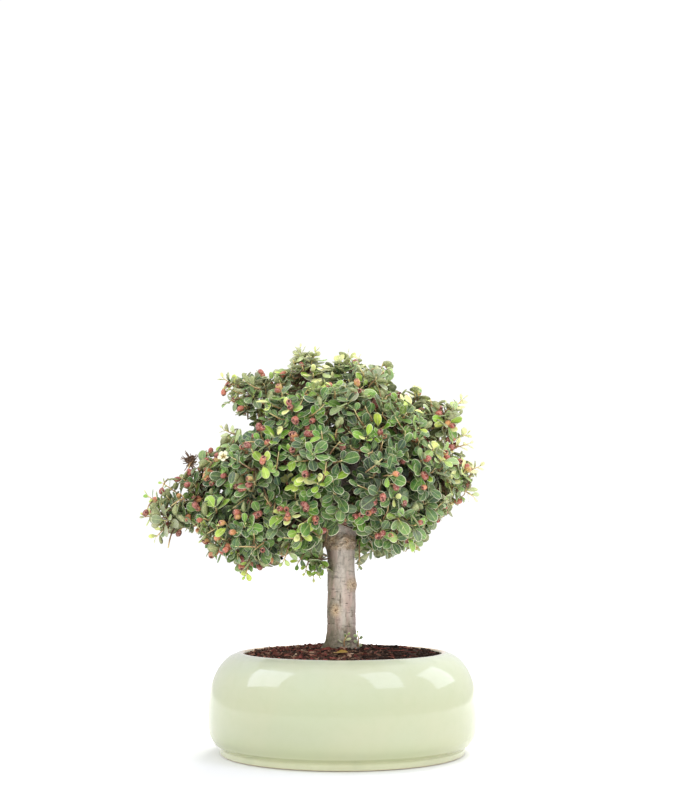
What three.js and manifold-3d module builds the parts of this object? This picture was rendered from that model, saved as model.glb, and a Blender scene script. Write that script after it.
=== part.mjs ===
// A small-leaved cotoneaster bonsai in a squat glazed bowl, in millimetres, +Z up.
// The origin is the middle of the bowl's flat underside, and -Y is the side that is looked at.
// The bowl holds a domed fill of soil, and the trunk's foot stands in a plain hole in it.
// Trunk, limbs and twigs grew as one piece of wood. Each twig ends in a leafy spray of its own.
import * as THREE from "three";
import { mergeVertices } from "three/addons/utils/BufferGeometryUtils.js";
import Module from "manifold-3d";

const wasm = await Module();
wasm.setup();

// Clearance between neighbouring solids, and what a spray keeps from wood and from other sprays.
const GAP = 0.3;
const SPRAY_CLEARANCE = 0.35;
// Edges shorter than this, left by fusing, are collapsed.
const SLIVER = 0.1;

// Bowl: outer profile from the foot ring and its groove to the lip's crest, as radius and height.
const BOWL_PROFILE = [
  [95.4, 0],
  [95.7, 4.2],
  [95, 5.5],
  [100, 8.4],
  [103.8, 15.6],
  [105, 27.6],
  [104.7, 42],
  [102, 55],
  [97, 65.6],
  [89.8, 73.4],
  [82.5, 76.8],
];
const LIP_RADIUS = 77.5;
const LIP_HEIGHT = 76;
const LIP_UNDERSIDE = 72.2;
const BOWL_INSIDE = [
  [85.5, 69],
  [95.3, 57],
  [98.6, 32],
  [94, 13.5],
  [82, 6.2],
];
const BOWL_FLOOR = 6.2;
const BOWL_SIDES = 28;
// The fill keeps this much off the bowl's wall, whose facets come closer than its corners.
const FILL_CLEARANCE = 0.9;

// Soil: a low dome that reaches the lip, with lumps raised by a formula.
const SOIL_CROWN = 80.2;
const SOIL_EDGE = 75.2;
const SOIL_LUMP = 0.9;
// Two crossing waves make the lumps: turns round the bowl, phase per millimetre out, and strength.
const BROAD_WAVE = { turns: 5, twist: 0.31, crossTurns: 2, crossTwist: 0.27 };
const FINE_WAVE = { turns: 9, twist: -0.19, strength: 0.6 };
// The lumps fade out just before the lip.
const LUMP_FADE = 1.02;
const SOIL_RINGS = [27, 39, 52, 65];
const SOIL_SIDES = 22;
const SOCKET_RADIUS = 17.8;
const SOCKET_FLOOR = 52;

// Trunk: centre line from the buried foot to the fork, and its radius at each point.
const TRUNK_LINE = [
  [0, 0, SOCKET_FLOOR + GAP],
  [0, 0, 63],
  [0, 0, 77],
  [-0.4, 0, 82],
  [-0.8, 0, 87],
  [-1, 0, 94],
  [-1, 0, 107],
  [-0.9, 0, 122],
  [-1, 0, 137],
  [-1.3, 0, 151],
  [-1.4, 0, 160],
  [-0.4, 0, 169],
  [1, 0, 181],
];
const TRUNK_RADIUS = [
  14.5, 15.3, 15, 14.2, 12.9, 12, 11.5, 11.2, 10.9, 10.8, 11.7, 10.2, 8.4,
];
const TRUNK_SIDES = 10;
// Root collar: how far the flare swells, and the bearings of its three buttresses.
const BUTTRESS_SWELL = 1.7;
const BUTTRESS_FOOT = 76;
const BUTTRESS_TOP = 91;
const BUTTRESS_BEARINGS = [200, 320, 80];
// A higher power makes each buttress narrower.
const BUTTRESS_SHARPNESS = 4;
// Healed branch scars: bearing in degrees, height, spread and how far each stands out.
const KNOTS = [
  [-36, 126, 6, 1.7],
  [-122, 112, 5, 1],
  [-75, 163, 8, 1.6],
  [186, 137, 4.5, 1.1],
  [60, 119, 5, 1.2],
  [130, 147, 6, 1.4],
];

// Limbs: the leader and its boughs, each a line of points and the radius at both ends.
const LIMBS = [
  { line: [[1, 0, 175], [5, 2, 199], [7, 0, 227], [3, 2, 255]], from: 8.2, to: 2.6 },
  {
    line: [[-4, 0, 165], [-26, -4, 181], [-58, -9, 192], [-92, -8, 196], [-108, -10, 194]],
    from: 6.4,
    to: 2.4,
  },
  { line: [[-2, -4, 175], [-14, -22, 193], [-32, -36, 206], [-44, -40, 211]], from: 5, to: 2.2 },
  { line: [[3, -4, 179], [16, -22, 195], [30, -36, 205], [42, -34, 211]], from: 5, to: 2.2 },
  { line: [[4, 0, 171], [24, 2, 187], [44, 6, 199], [60, 8, 209]], from: 5.6, to: 2.2 },
  { line: [[2, 4, 181], [14, 22, 197], [26, 38, 207], [36, 46, 213]], from: 5, to: 2.2 },
  { line: [[-3, 4, 177], [-18, 20, 193], [-34, 34, 205], [-50, 38, 209]], from: 5, to: 2.2 },
  { line: [[5, 1, 207], [-10, -2, 227], [-28, -4, 249], [-46, -3, 263]], from: 4.4, to: 2.2 },
  { line: [[7, 0, 225], [24, 0, 239], [40, -4, 249]], from: 3.8, to: 2.2 },
];
const LIMB_SIDES = 5;
// Places along each limb that a twig may grow from, and how many of the first ones stay bare.
const LIMB_STATIONS = 12;
const BARE_STATIONS = 2;

// Sprays: the middle of each leafy spray and how far its furthest leaves reach from it.
const SPRAYS = [
  [-29, -8, 289, 27],
  [4, 8, 286, 28],
  [21, -14, 284, 25],
  [-73, -6, 279, 22],
  [-36, 34, 270, 28],
  [4, 48, 263, 30],
  [42, 32, 259, 27],
  [57, 6, 261, 26],
  [77, -12, 257, 20],
  [-37, -48, 257, 28],
  [0, -56, 259, 29],
  [36, -52, 250, 28],
  [-58, -2, 254, 21],
  [80, -6, 217, 28],
  [72, 44, 222, 28],
  [30, 72, 222, 30],
  [-12, 74, 222, 30],
  [-54, 58, 220, 30],
  [-86, 24, 218, 26],
  [-84, -22, 219, 27],
  [-58, -60, 220, 30],
  [-18, -73, 221, 30],
  [24, -72, 217, 30],
  [60, -50, 216, 28],
  [-114, -4, 207, 23],
  [-132, -12, 185, 22],
  [-105, 24, 186, 24],
  [-92, -36, 179, 25],
  [-70, -56, 169, 28],
  [-34, -62, 182, 26],
  [2, -64, 196, 25],
  [36, -58, 182, 27],
  [60, -26, 193, 25],
  [63, 26, 194, 25],
  [44, 58, 178, 28],
  [2, 66, 180, 28],
  [-40, 62, 178, 28],
  [-78, 46, 174, 28],
  [-68, -4, 164, 24],
  [-32, 22, 171, 20],
  [32, 16, 170, 22],
  [18, -26, 168, 18],
  [-17, -13, 147, 12],
];
const CROWN_MIDDLE = new THREE.Vector3(-8, 0, 211);
// The small knot of crowded shoots in a spray's middle, as a share of its reach, and its own stem.
const CORE_SHARE = 0.4;
const SPRAY_STEM = 5;

// Twigs: radius at both ends, and how they find and leave their limb. A limb point well above the
// spray's middle costs more than its distance, and each twig bows by a share of its length.
const TWIG_FROM = 2.2;
const TWIG_TO = 1.7;
const TWIG_SIDES = 3;
const TWIG_SHORTEST = 2;
const TWIG_DROP_COST = 1.6;
const TWIG_DROP_FREE = 8;
const TWIG_BOW = 0.12;

// One leaf: real ones are 8 to 12 mm long, and these are drawn larger because they are fewer.
const LEAF_LENGTH = 20;
const LEAF_WIDTH_SHARE = 0.74;
const LEAF_THICKNESS = 0.7;
// A blade rolls about its own length by up to this much of its width.
const LEAF_ROLL = 0.65;
// Roots sink into the core to this share of its radius.
const LEAF_ROOT = 0.74;
const BERRY_ROOT = 0.92;
// A piece that would touch another is tried again, up to this much shorter and, in degrees, further
// off its place: a leaf leans and a berry leans and turns.
const TRIES = 14;
const LEAF_SHORTENING = 0.4;
const LEAF_RETRY_LEAN = 40;
const BERRY_RETRY_LEAN = 60;
const BERRY_RETRY_TURN = 140;
// Each spray draws its own row of random numbers.
const FIRST_SEED = 1000;
const SEED_STEP = 77;
// Leaves open in whorls, each with its tilt in degrees from the spray's outward line and its count.
const WHORLS = [
  { tilt: 40, count: 3 },
  { tilt: 70, count: 4 },
  { tilt: 103, count: 3 },
];
const WHORL_TURN = 47;
const LEAN_JITTER = 16;
const TURN_JITTER = 0.3;
// Outline from the root round the blunt tip, as shares of length and of half width.
const LEAF_OUTLINE = [
  [0, 0],
  [0.52, -1],
  [1, -0.5],
  [1, 0.5],
  [0.52, 1],
];

// Berries: a five-sided pome with a sunk calyx at its far end.
const BERRY_PROFILE = [
  [2.9, 2],
  [3.4, 4.6],
  [1.9, 7],
];
const BERRY_STALK_END = -1.6;
const BERRY_CALYX_FLOOR = 5.4;
const BERRY_SIDES = 5;
const BERRY_TILT = 30;

// A fallen yellow leaf on the soil in front of the trunk.
const FALLEN_LEAF = { x: -7, y: -49, length: 10, bearing: 8 };
// The soil is felt for at this many steps along it.
const LEAF_RESTS = 5;

const bark = new THREE.MeshStandardMaterial({ color: 0xa39a8a, roughness: 0.85, metalness: 0 });
const glaze = new THREE.MeshStandardMaterial({ color: 0xd8deb8, roughness: 0.15, metalness: 0 });
const earth = new THREE.MeshStandardMaterial({ color: 0x4a2f27, roughness: 0.95, metalness: 0 });
const foliage = new THREE.MeshStandardMaterial({ color: 0x3f6b3c, roughness: 0.5, metalness: 0 });
const dryLeaf = new THREE.MeshStandardMaterial({ color: 0xb58f3c, roughness: 0.7, metalness: 0 });

const radians = THREE.MathUtils.degToRad;
const vector = (p) => new THREE.Vector3(p[0], p[1], p[2]);
const UPWARD = new THREE.Vector3(0, 0, 1);
// Turns a spherical direction's pole from +Y to +Z.
const SIDEWAYS = new THREE.Quaternion().setFromAxisAngle(new THREE.Vector3(1, 0, 0), Math.PI / 2);

// A repeatable random draw from 0 to 1.
function seeded(seed) {
  let state = seed >>> 0;
  return () => {
    state = (state + 0x6d2b79f5) >>> 0;
    let t = state;
    t = Math.imul(t ^ (t >>> 15), t | 1);
    t ^= t + Math.imul(t ^ (t >>> 7), t | 61);
    return ((t ^ (t >>> 14)) >>> 0) / 4294967296;
  };
}

// Closed solid from plain lists of points and triangles.
function solidFrom(points, triangles) {
  return new wasm.Manifold(
    new wasm.Mesh({
      numProp: 3,
      vertProperties: new Float32Array(points.flatMap((p) => [p.x, p.y, p.z])),
      triVerts: new Uint32Array(triangles.flat()),
    }),
  );
}

// Closed solid from a three.js geometry.
function solidFromGeometry(geometry) {
  const bare = geometry.clone();
  bare.deleteAttribute("normal");
  bare.deleteAttribute("uv");
  const merged = mergeVertices(bare, 1e-3);
  return new wasm.Manifold(
    new wasm.Mesh({
      numProp: 3,
      vertProperties: new Float32Array(merged.attributes.position.array),
      triVerts: new Uint32Array(merged.index.array),
    }),
  );
}

// The solid's mesh, rid of the slivers that fusing leaves.
function geometryOf(solid) {
  const mesh = solid.asOriginal().simplify(SLIVER).getMesh();
  const positions = new Float32Array(mesh.numVert * 3);
  for (let i = 0; i < mesh.numVert; i++) {
    positions.set(mesh.vertProperties.subarray(i * mesh.numProp, i * mesh.numProp + 3), i * 3);
  }
  return new THREE.BufferGeometry()
    .setAttribute("position", new THREE.BufferAttribute(positions, 3))
    .setIndex(new THREE.BufferAttribute(new Uint32Array(mesh.triVerts), 1));
}

// A named mesh.
function meshOf(name, geometry, material) {
  const mesh = new THREE.Mesh(geometry, material);
  mesh.name = name;
  return mesh;
}

// Closed tube along a smooth line, with its radius given by the share of length.
function tube(line, radiusAt, sides, steps) {
  const curve = new THREE.CatmullRomCurve3(line, false, "centripetal");
  const { tangents, normals } = curve.computeFrenetFrames(steps, false);
  const points = [];
  for (let i = 0; i <= steps; i++) {
    const middle = curve.getPointAt(i / steps);
    for (let k = 0; k < sides; k++) {
      const turn = (2 * Math.PI * k) / sides;
      const out = normals[i].clone().applyAxisAngle(tangents[i], turn);
      points.push(middle.clone().addScaledVector(out, radiusAt(i / steps)));
    }
  }
  return solidFrom(points, ringTriangles(steps + 1, sides));
}

// Triangles that join rings of points into a closed body with flat ends.
function ringTriangles(rings, sides) {
  const triangles = [];
  for (let i = 0; i < rings - 1; i++) {
    for (let k = 0; k < sides; k++) {
      const a = i * sides + k;
      const b = i * sides + ((k + 1) % sides);
      triangles.push([a, b, b + sides], [a, b + sides, a + sides]);
    }
  }
  const last = (rings - 1) * sides;
  for (let k = 1; k < sides - 1; k++) {
    triangles.push([0, k + 1, k], [last, last + k, last + k + 1]);
  }
  return triangles;
}

// The bowl, turned from its profile.
function bowl() {
  const lip = [
    [LIP_RADIUS, LIP_HEIGHT],
    [LIP_RADIUS, LIP_UNDERSIDE],
  ];
  const profile = [[0, 0], ...BOWL_PROFILE, ...lip, ...BOWL_INSIDE, [0, BOWL_FLOOR]];
  const points = profile.map(([r, z]) => new THREE.Vector2(r, z));
  return new THREE.LatheGeometry(points, BOWL_SIDES).rotateX(Math.PI / 2);
}

// Height of the soil's surface at a radius and bearing.
function soilHeight(radius, bearing) {
  const share = radius / LIP_RADIUS;
  const dome = SOIL_CROWN - (SOIL_CROWN - SOIL_EDGE) * share * share;
  const along = Math.sin(bearing * BROAD_WAVE.turns + radius * BROAD_WAVE.twist);
  const across = Math.cos(bearing * BROAD_WAVE.crossTurns + radius * BROAD_WAVE.crossTwist);
  const fine = FINE_WAVE.strength * Math.sin(bearing * FINE_WAVE.turns + radius * FINE_WAVE.twist);
  return dome + SOIL_LUMP * (along * across + fine) * Math.sin(Math.PI * Math.min(1, share * LUMP_FADE));
}

// The fill: up the bowl's inside, over the dome and down into the trunk's socket.
function soil() {
  const bottom = BOWL_FLOOR + GAP;
  const side = BOWL_INSIDE.toReversed().map(([r, z]) => [r - FILL_CLEARANCE, Math.max(z, bottom)]);
  const neck = [
    [LIP_RADIUS - FILL_CLEARANCE, LIP_UNDERSIDE - GAP],
    [LIP_RADIUS - FILL_CLEARANCE, SOIL_EDGE],
  ];
  const surface = [...SOIL_RINGS.toReversed(), SOCKET_RADIUS].map((r) => [r, null]);
  const rings = [...side, ...neck, ...surface];
  const points = [new THREE.Vector3(0, 0, bottom)];
  for (const [radius, height] of rings) {
    for (let k = 0; k < SOIL_SIDES; k++) {
      const bearing = (2 * Math.PI * k) / SOIL_SIDES;
      const z = height ?? soilHeight(radius, bearing);
      points.push(new THREE.Vector3(radius * Math.cos(bearing), radius * Math.sin(bearing), z));
    }
  }
  for (let k = 0; k < SOIL_SIDES; k++) {
    const rim = points[points.length - SOIL_SIDES];
    points.push(new THREE.Vector3(rim.x, rim.y, SOCKET_FLOOR));
  }
  points.push(new THREE.Vector3(0, 0, SOCKET_FLOOR));
  const triangles = [];
  const top = points.length - 1;
  for (let k = 0; k < SOIL_SIDES; k++) {
    const next = (k + 1) % SOIL_SIDES;
    triangles.push([0, 1 + next, 1 + k], [top, top - SOIL_SIDES + k, top - SOIL_SIDES + next]);
    for (let ring = 0; ring < rings.length; ring++) {
      const a = 1 + ring * SOIL_SIDES + k;
      const b = 1 + ring * SOIL_SIDES + next;
      triangles.push([a, b, b + SOIL_SIDES], [a, b + SOIL_SIDES, a + SOIL_SIDES]);
    }
  }
  return solidFrom(points, triangles);
}

// The trunk's plain radius with the root collar and the scars raised on it, at a bearing and height.
function trunkRadius(plain, bearing, height) {
  let radius = plain;
  if (height > BUTTRESS_FOOT && height < BUTTRESS_TOP) {
    const rise = (BUTTRESS_TOP - height) / (BUTTRESS_TOP - BUTTRESS_FOOT);
    const swell = Math.max(...BUTTRESS_BEARINGS.map((b) => Math.cos(bearing - radians(b))));
    radius += BUTTRESS_SWELL * rise * Math.max(0, swell) ** BUTTRESS_SHARPNESS;
  }
  for (const [at, knotHeight, spread, stand] of KNOTS) {
    const turned = bearing - radians(at);
    const across = Math.atan2(Math.sin(turned), Math.cos(turned)) * plain;
    const away = across ** 2 + (height - knotHeight) ** 2;
    radius += stand * Math.exp((-2 * away) / spread ** 2);
  }
  return radius;
}

// Points spaced along every limb but its first stretch, for twigs to grow from.
function limbPoints() {
  return LIMBS.flatMap(({ line }) => {
    const curve = new THREE.CatmullRomCurve3(line.map(vector), false, "centripetal");
    return curve.getSpacedPoints(LIMB_STATIONS).slice(BARE_STATIONS);
  });
}

// Distance from a spray's middle to the plane between it and a neighbour.
function wallTo(own, other) {
  const apart = vector(own).distanceTo(vector(other));
  return (apart * apart + own[3] ** 2 - other[3] ** 2) / (2 * apart);
}

// A core stays clear of all its neighbours' space.
function coreRadius(own) {
  const walls = SPRAYS.filter((other) => other !== own).map((other) => wallTo(own, other) - GAP);
  return Math.min(CORE_SHARE * own[3], ...walls);
}

// The twig that carries a spray: from the best placed limb point, a little bowed, to near the core.
function twigOf(middle, core, places) {
  const drop = (at) => Math.max(0, at.z - middle.z - TWIG_DROP_FREE);
  const cost = (at) => at.distanceTo(middle) + TWIG_DROP_COST * drop(at);
  const start = places.reduce((best, at) => (cost(at) < cost(best) ? at : best));
  const length = start.distanceTo(middle);
  const left = Math.min(length - TWIG_SHORTEST, core + SPRAY_STEM);
  const end = middle.clone().lerp(start, left / length);
  const bend = start.clone().lerp(end, 0.5);
  bend.z += TWIG_BOW * start.distanceTo(end) * Math.sign(start.z - middle.z);
  return { start, bend, end, middle, core };
}

// Trunk, limbs and twigs in one piece, grown outwards by a clearance.
function woodSolid(twigs, grown) {
  const parts = [trunk(grown)];
  for (const { line, from, to } of LIMBS) {
    const radiusAt = (t) => THREE.MathUtils.lerp(from, to, t) + grown;
    parts.push(tube(line.map(vector), radiusAt, LIMB_SIDES, line.length));
  }
  for (const { start, bend, end } of twigs) {
    const radiusAt = (t) => THREE.MathUtils.lerp(TWIG_FROM, TWIG_TO, t) + grown;
    parts.push(tube([start, bend, end], radiusAt, TWIG_SIDES, 2));
  }
  return wasm.Manifold.union(parts);
}

// The trunk's rings lie level, one at each point of its line.
function trunk(grown) {
  const points = [];
  TRUNK_LINE.forEach(([x, y, z], i) => {
    for (let k = 0; k < TRUNK_SIDES; k++) {
      const bearing = (2 * Math.PI * k) / TRUNK_SIDES;
      const radius = trunkRadius(TRUNK_RADIUS[i], bearing, z) + grown;
      points.push(new THREE.Vector3(x + radius * Math.cos(bearing), y + radius * Math.sin(bearing), z));
    }
  });
  return solidFrom(points, ringTriangles(TRUNK_LINE.length, TRUNK_SIDES));
}

// A five-cornered blade that grows from its root along one line and faces another.
function leaf(root, along, face, length) {
  const ahead = along.clone().normalize();
  const up = face.clone().addScaledVector(ahead, -face.dot(ahead)).normalize();
  const side = new THREE.Vector3().crossVectors(up, ahead);
  const half = (length * LEAF_WIDTH_SHARE) / 2;
  const points = [];
  for (const lift of [LEAF_THICKNESS / 2, -LEAF_THICKNESS / 2]) {
    for (const [share, wide] of LEAF_OUTLINE) {
      const corner = root.clone().addScaledVector(ahead, share * length);
      points.push(corner.addScaledVector(side, wide * half).addScaledVector(up, lift));
    }
  }
  const triangles = [];
  const corners = LEAF_OUTLINE.length;
  for (let a = 1; a < corners - 1; a++) {
    triangles.push([0, a, a + 1], [corners, corners + a + 1, corners + a]);
  }
  for (let a = 0; a < corners; a++) {
    const b = (a + 1) % corners;
    triangles.push([a + corners, b + corners, b], [a + corners, b, a]);
  }
  return { points, solid: solidFrom(points, triangles) };
}

// A pome on its stalk end, with a hollow between the calyx lobes.
function berry(root, along) {
  const turned = new THREE.Quaternion().setFromUnitVectors(UPWARD, along.clone().normalize());
  const points = [new THREE.Vector3(0, 0, BERRY_STALK_END)];
  for (const [radius, height] of BERRY_PROFILE) {
    for (let k = 0; k < BERRY_SIDES; k++) {
      const turn = (2 * Math.PI * k) / BERRY_SIDES;
      points.push(new THREE.Vector3(radius * Math.cos(turn), radius * Math.sin(turn), height));
    }
  }
  points.push(new THREE.Vector3(0, 0, BERRY_CALYX_FLOOR));
  const top = points.length - 1;
  const triangles = [];
  for (let k = 0; k < BERRY_SIDES; k++) {
    const next = (k + 1) % BERRY_SIDES;
    triangles.push([0, 1 + next, 1 + k], [top, top - BERRY_SIDES + k, top - BERRY_SIDES + next]);
    for (let ring = 0; ring < BERRY_PROFILE.length - 1; ring++) {
      const a = 1 + ring * BERRY_SIDES + k;
      const b = 1 + ring * BERRY_SIDES + next;
      triangles.push([a, b, b + BERRY_SIDES], [a, b + BERRY_SIDES, a + BERRY_SIDES]);
    }
  }
  const placed = points.map((p) => p.applyQuaternion(turned).add(root));
  return { points: placed, solid: solidFrom(placed, triangles) };
}

// How far inside a spray's own space a point lies. The space ends at the planes where the sphere of
// its reach meets its neighbours', so no two sprays can cross.
function insetInOwnSpace(point, own) {
  const power = (spray) => point.distanceToSquared(vector(spray)) - spray[3] ** 2;
  const insets = SPRAYS.filter((other) => other !== own).map((other) => {
    const apart = vector(other).distanceTo(vector(own));
    return (power(other) - power(own)) / (2 * apart);
  });
  return Math.min(...insets);
}

// One leafy spray: a stem that carries on from its twig, a small core, whorls of leaves and a berry.
function spray(number, twig, woodAround) {
  const own = SPRAYS[number];
  const { middle, core, end } = twig;
  const random = seeded(FIRST_SEED + number * SEED_STEP);
  const jitter = () => random() - 0.5;
  const ahead = middle.clone().sub(end).normalize();
  const outward = middle.clone().sub(CROWN_MIDDLE).normalize().add(ahead).normalize();
  const frame = new THREE.Quaternion().setFromUnitVectors(UPWARD, outward);
  // Direction at a tilt from the spray's outward line, turned round it, both in degrees.
  const direction = (tilt, turn) => {
    const level = new THREE.Vector3().setFromSphericalCoords(1, radians(tilt), radians(turn));
    return level.applyQuaternion(SIDEWAYS).applyQuaternion(frame);
  };

  // Keeps a piece at the first of several tries that is clear of wood, neighbours and other pieces.
  const settled = [];
  const settle = (make) => {
    for (let attempt = 0; attempt < TRIES; attempt++) {
      const { points, solid } = make(attempt / TRIES);
      const inside = points.every((point) => insetInOwnSpace(point, own) > SPRAY_CLEARANCE);
      if (inside && [woodAround, ...settled].every((other) => solid.intersect(other).isEmpty())) {
        settled.push(solid);
        return;
      }
    }
  };

  const spin = random() * 360;
  WHORLS.forEach(({ tilt, count }, whorl) => {
    for (let k = 0; k < count; k++) {
      settle((share) => {
        const lean = tilt + jitter() * (LEAN_JITTER + LEAF_RETRY_LEAN * share);
        const turn = spin + WHORL_TURN * whorl + (360 / count) * (k + jitter() * (TURN_JITTER + share));
        const out = direction(lean, turn);
        const roll = 2 * LEAF_ROLL * jitter();
        const face = direction(lean - 90, turn).addScaledVector(direction(90, turn + 90), roll);
        const root = middle.clone().addScaledVector(out, core * LEAF_ROOT);
        return leaf(root, out, face, LEAF_LENGTH * (1 - LEAF_SHORTENING * share));
      });
    }
  });
  settle((share) => {
    const out = direction(BERRY_TILT + BERRY_RETRY_LEAN * share, spin + BERRY_RETRY_TURN * share);
    return berry(middle.clone().addScaledVector(out, core * BERRY_ROOT), out);
  });

  const stemStart = end.clone().addScaledVector(ahead, GAP);
  const stemLine = [stemStart, stemStart.clone().lerp(middle, 0.5), middle];
  const stem = tube(stemLine, () => TWIG_TO, TWIG_SIDES, 1);
  const knot = new THREE.IcosahedronGeometry(core, 0).rotateZ(number).rotateX(number);
  knot.translate(...middle);
  const fused = wasm.Manifold.union([stem, solidFromGeometry(knot), ...settled]).subtract(woodAround);
  return fused.decompose().reduce((most, body) => (body.volume() > most.volume() ? body : most));
}

// The fallen leaf lies level, just clear of the highest soil beneath it.
function fallenLeaf(soilMesh) {
  const { x, y, length, bearing } = FALLEN_LEAF;
  const along = new THREE.Vector3(Math.cos(radians(bearing)), Math.sin(radians(bearing)), 0);
  const half = (length * LEAF_WIDTH_SHARE) / 2;
  let highest = 0;
  for (let ahead = 0; ahead <= length; ahead += length / LEAF_RESTS) {
    for (const wide of [-half, 0, half]) {
      const above = new THREE.Vector3(x, y + wide, 2 * SOIL_CROWN).addScaledVector(along, ahead);
      const down = new THREE.Raycaster(above, UPWARD.clone().negate());
      highest = Math.max(highest, down.intersectObject(soilMesh)[0].point.z);
    }
  }
  const root = new THREE.Vector3(x, y, highest + GAP + LEAF_THICKNESS / 2);
  return leaf(root, along, UPWARD, length).solid;
}

const bonsai = new THREE.Group();
bonsai.name = "cotoneaster_bonsai";
bonsai.add(meshOf("pot", bowl(), glaze));
const soilMesh = meshOf("soil", geometryOf(soil()), earth);
bonsai.add(soilMesh);

const places = limbPoints();
const twigs = SPRAYS.map((s) => twigOf(vector(s), coreRadius(s), places));
bonsai.add(meshOf("trunk_and_branches", geometryOf(woodSolid(twigs, 0)), bark));

const woodAround = woodSolid(twigs, SPRAY_CLEARANCE);
twigs.forEach((twig, number) => {
  const name = "spray_" + String(number + 1).padStart(2, "0");
  bonsai.add(meshOf(name, geometryOf(spray(number, twig, woodAround)), foliage));
});
bonsai.add(meshOf("fallen_leaf", geometryOf(fallenLeaf(soilMesh)), dryLeaf));

export default bonsai;
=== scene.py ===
"""Looks for the cotoneaster bonsai: bowl, soil, wood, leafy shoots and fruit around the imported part.

Lengths are millimetres, as in the part. The camera, the lamps and the places that materials start
or end at are in metres.
"""

import math

import bpy
import numpy as np
from mathutils import Matrix, Vector


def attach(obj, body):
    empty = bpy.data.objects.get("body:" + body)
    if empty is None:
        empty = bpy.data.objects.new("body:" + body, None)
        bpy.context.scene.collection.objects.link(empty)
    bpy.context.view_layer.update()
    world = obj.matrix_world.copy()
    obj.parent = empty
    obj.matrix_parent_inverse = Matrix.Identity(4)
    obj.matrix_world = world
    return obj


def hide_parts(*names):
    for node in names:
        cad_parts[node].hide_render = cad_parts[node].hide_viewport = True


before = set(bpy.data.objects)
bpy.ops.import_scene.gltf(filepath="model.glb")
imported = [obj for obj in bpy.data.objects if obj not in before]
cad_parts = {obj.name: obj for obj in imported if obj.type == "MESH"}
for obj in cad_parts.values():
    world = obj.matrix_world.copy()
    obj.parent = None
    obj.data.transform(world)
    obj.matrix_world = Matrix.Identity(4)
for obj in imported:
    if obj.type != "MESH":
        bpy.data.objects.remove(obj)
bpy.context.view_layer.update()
MM = 0.001
TURN = 2 * math.pi
GOLDEN_ANGLE = math.pi * (3 - math.sqrt(5))
UP = np.array([0.0, 0, 1])

# Bowl, as radius and height. The wall is the part's own.
BOWL_HEIGHT = 77
BOWL_WALL = [
    (100, 8.4), (103.8, 15.6), (105, 27.6), (104.7, 42), (102, 55), (97, 65.6), (89.8, 73.4),
    (82.5, 76.8),
]
BOWL_UNDERSIDE = [(78, 0), (79, 0), (79.6, 0.9), (84.4, 0.9), (85, 0), (94.3, 0), (95.0, 0.35)]
BOWL_FOOT = [(95.3, 1.0), (95.7, 3.3), (95.5, 4.7), (95.1, 5.5), (96.4, 6.6), (100, 8.4)]
BOWL_LIP = [(82.5, 76.8), (80.2, 77.0), (78.3, 76.8), (77.5, 76)]
BOWL_INSIDE = [(77.5, 72.4), (85.5, 69), (95.3, 57), (98.6, 32), (94, 13.5), (82, 6.4)]
INSIDE_FLOOR = 6.2
LIP_RADIUS = 77.5

# Soil, as in the part: heights in the middle and at the edge, and how far its lumps stand out.
SOIL_CROWN = 80.2
SOIL_EDGE = 75.2
SOIL_LUMP = 0.9
# The seen soil is a shell under that surface: its outer edge and its flat underside.
SOIL_RIM = 73.4
SOIL_UNDERSIDE = 68
# Bark chips, crumbs and fibres that lie on it.
CHIPS = 520
CRUMBS = 700
FIBRES = 90

# Trunk and limbs, as in the part.
TRUNK_LINE = np.array([
    (0, 0, 52.3), (0, 0, 63), (0, 0, 77), (-0.4, 0, 82), (-0.8, 0, 87), (-1, 0, 94), (-1, 0, 107),
    (-0.9, 0, 122), (-1, 0, 137), (-1.3, 0, 151), (-1.4, 0, 160), (-0.4, 0, 169), (1, 0, 181),
], float)
TRUNK_RADIUS = [13.6, 14.2, 13.9, 13.2, 12.4, 11.8, 11.5, 11.2, 10.9, 10.8, 11.7, 10.2, 8.4]
# Healed scars: bearing, height, spread and how far each stands out.
KNOTS = [
    (-44, 129.5, 8, 3.2), (-112, 109.5, 8, 1.3), (-75, 163, 8, 1.0), (186, 143, 4.5, 1.4),
    (60, 119, 5, 1.2), (130, 147, 6, 1.4),
]
BURL_HEIGHT = 162.5
# Root flares: bearing, how far each stands out at the soil and how narrow it is.
ROOTS = [(196, 4.6, 9), (322, 2.2, 9), (80, 3.5, 7), (252, 1.8, 12), (20, 1.2, 9), (290, 1.4, 14)]
# Each limb's line and its radius at both ends.
LIMBS = [
    ([(1, 0, 175), (5, 2, 199), (7, 0, 227), (3, 2, 255)], 8.2, 2.6),
    ([(-4, 0, 165), (-26, -4, 181), (-58, -9, 192), (-92, -8, 196), (-108, -10, 194)], 6.4, 2.4),
    ([(-2, -4, 175), (-14, -22, 193), (-32, -36, 206), (-44, -40, 211)], 5, 2.2),
    ([(3, -4, 179), (16, -22, 195), (30, -36, 205), (42, -34, 211)], 5, 2.2),
    ([(4, 0, 171), (24, 2, 187), (44, 6, 199), (60, 8, 209)], 5.6, 2.2),
    ([(2, 4, 181), (14, 22, 197), (26, 38, 207), (36, 46, 213)], 5, 2.2),
    ([(-3, 4, 177), (-18, 20, 193), (-34, 34, 205), (-50, 38, 209)], 5, 2.2),
    ([(5, 1, 207), (-10, -2, 227), (-28, -4, 249), (-46, -3, 263)], 4.4, 2.2),
    ([(7, 0, 225), (24, 0, 239), (40, -4, 249)], 3.8, 2.2),
]

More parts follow.
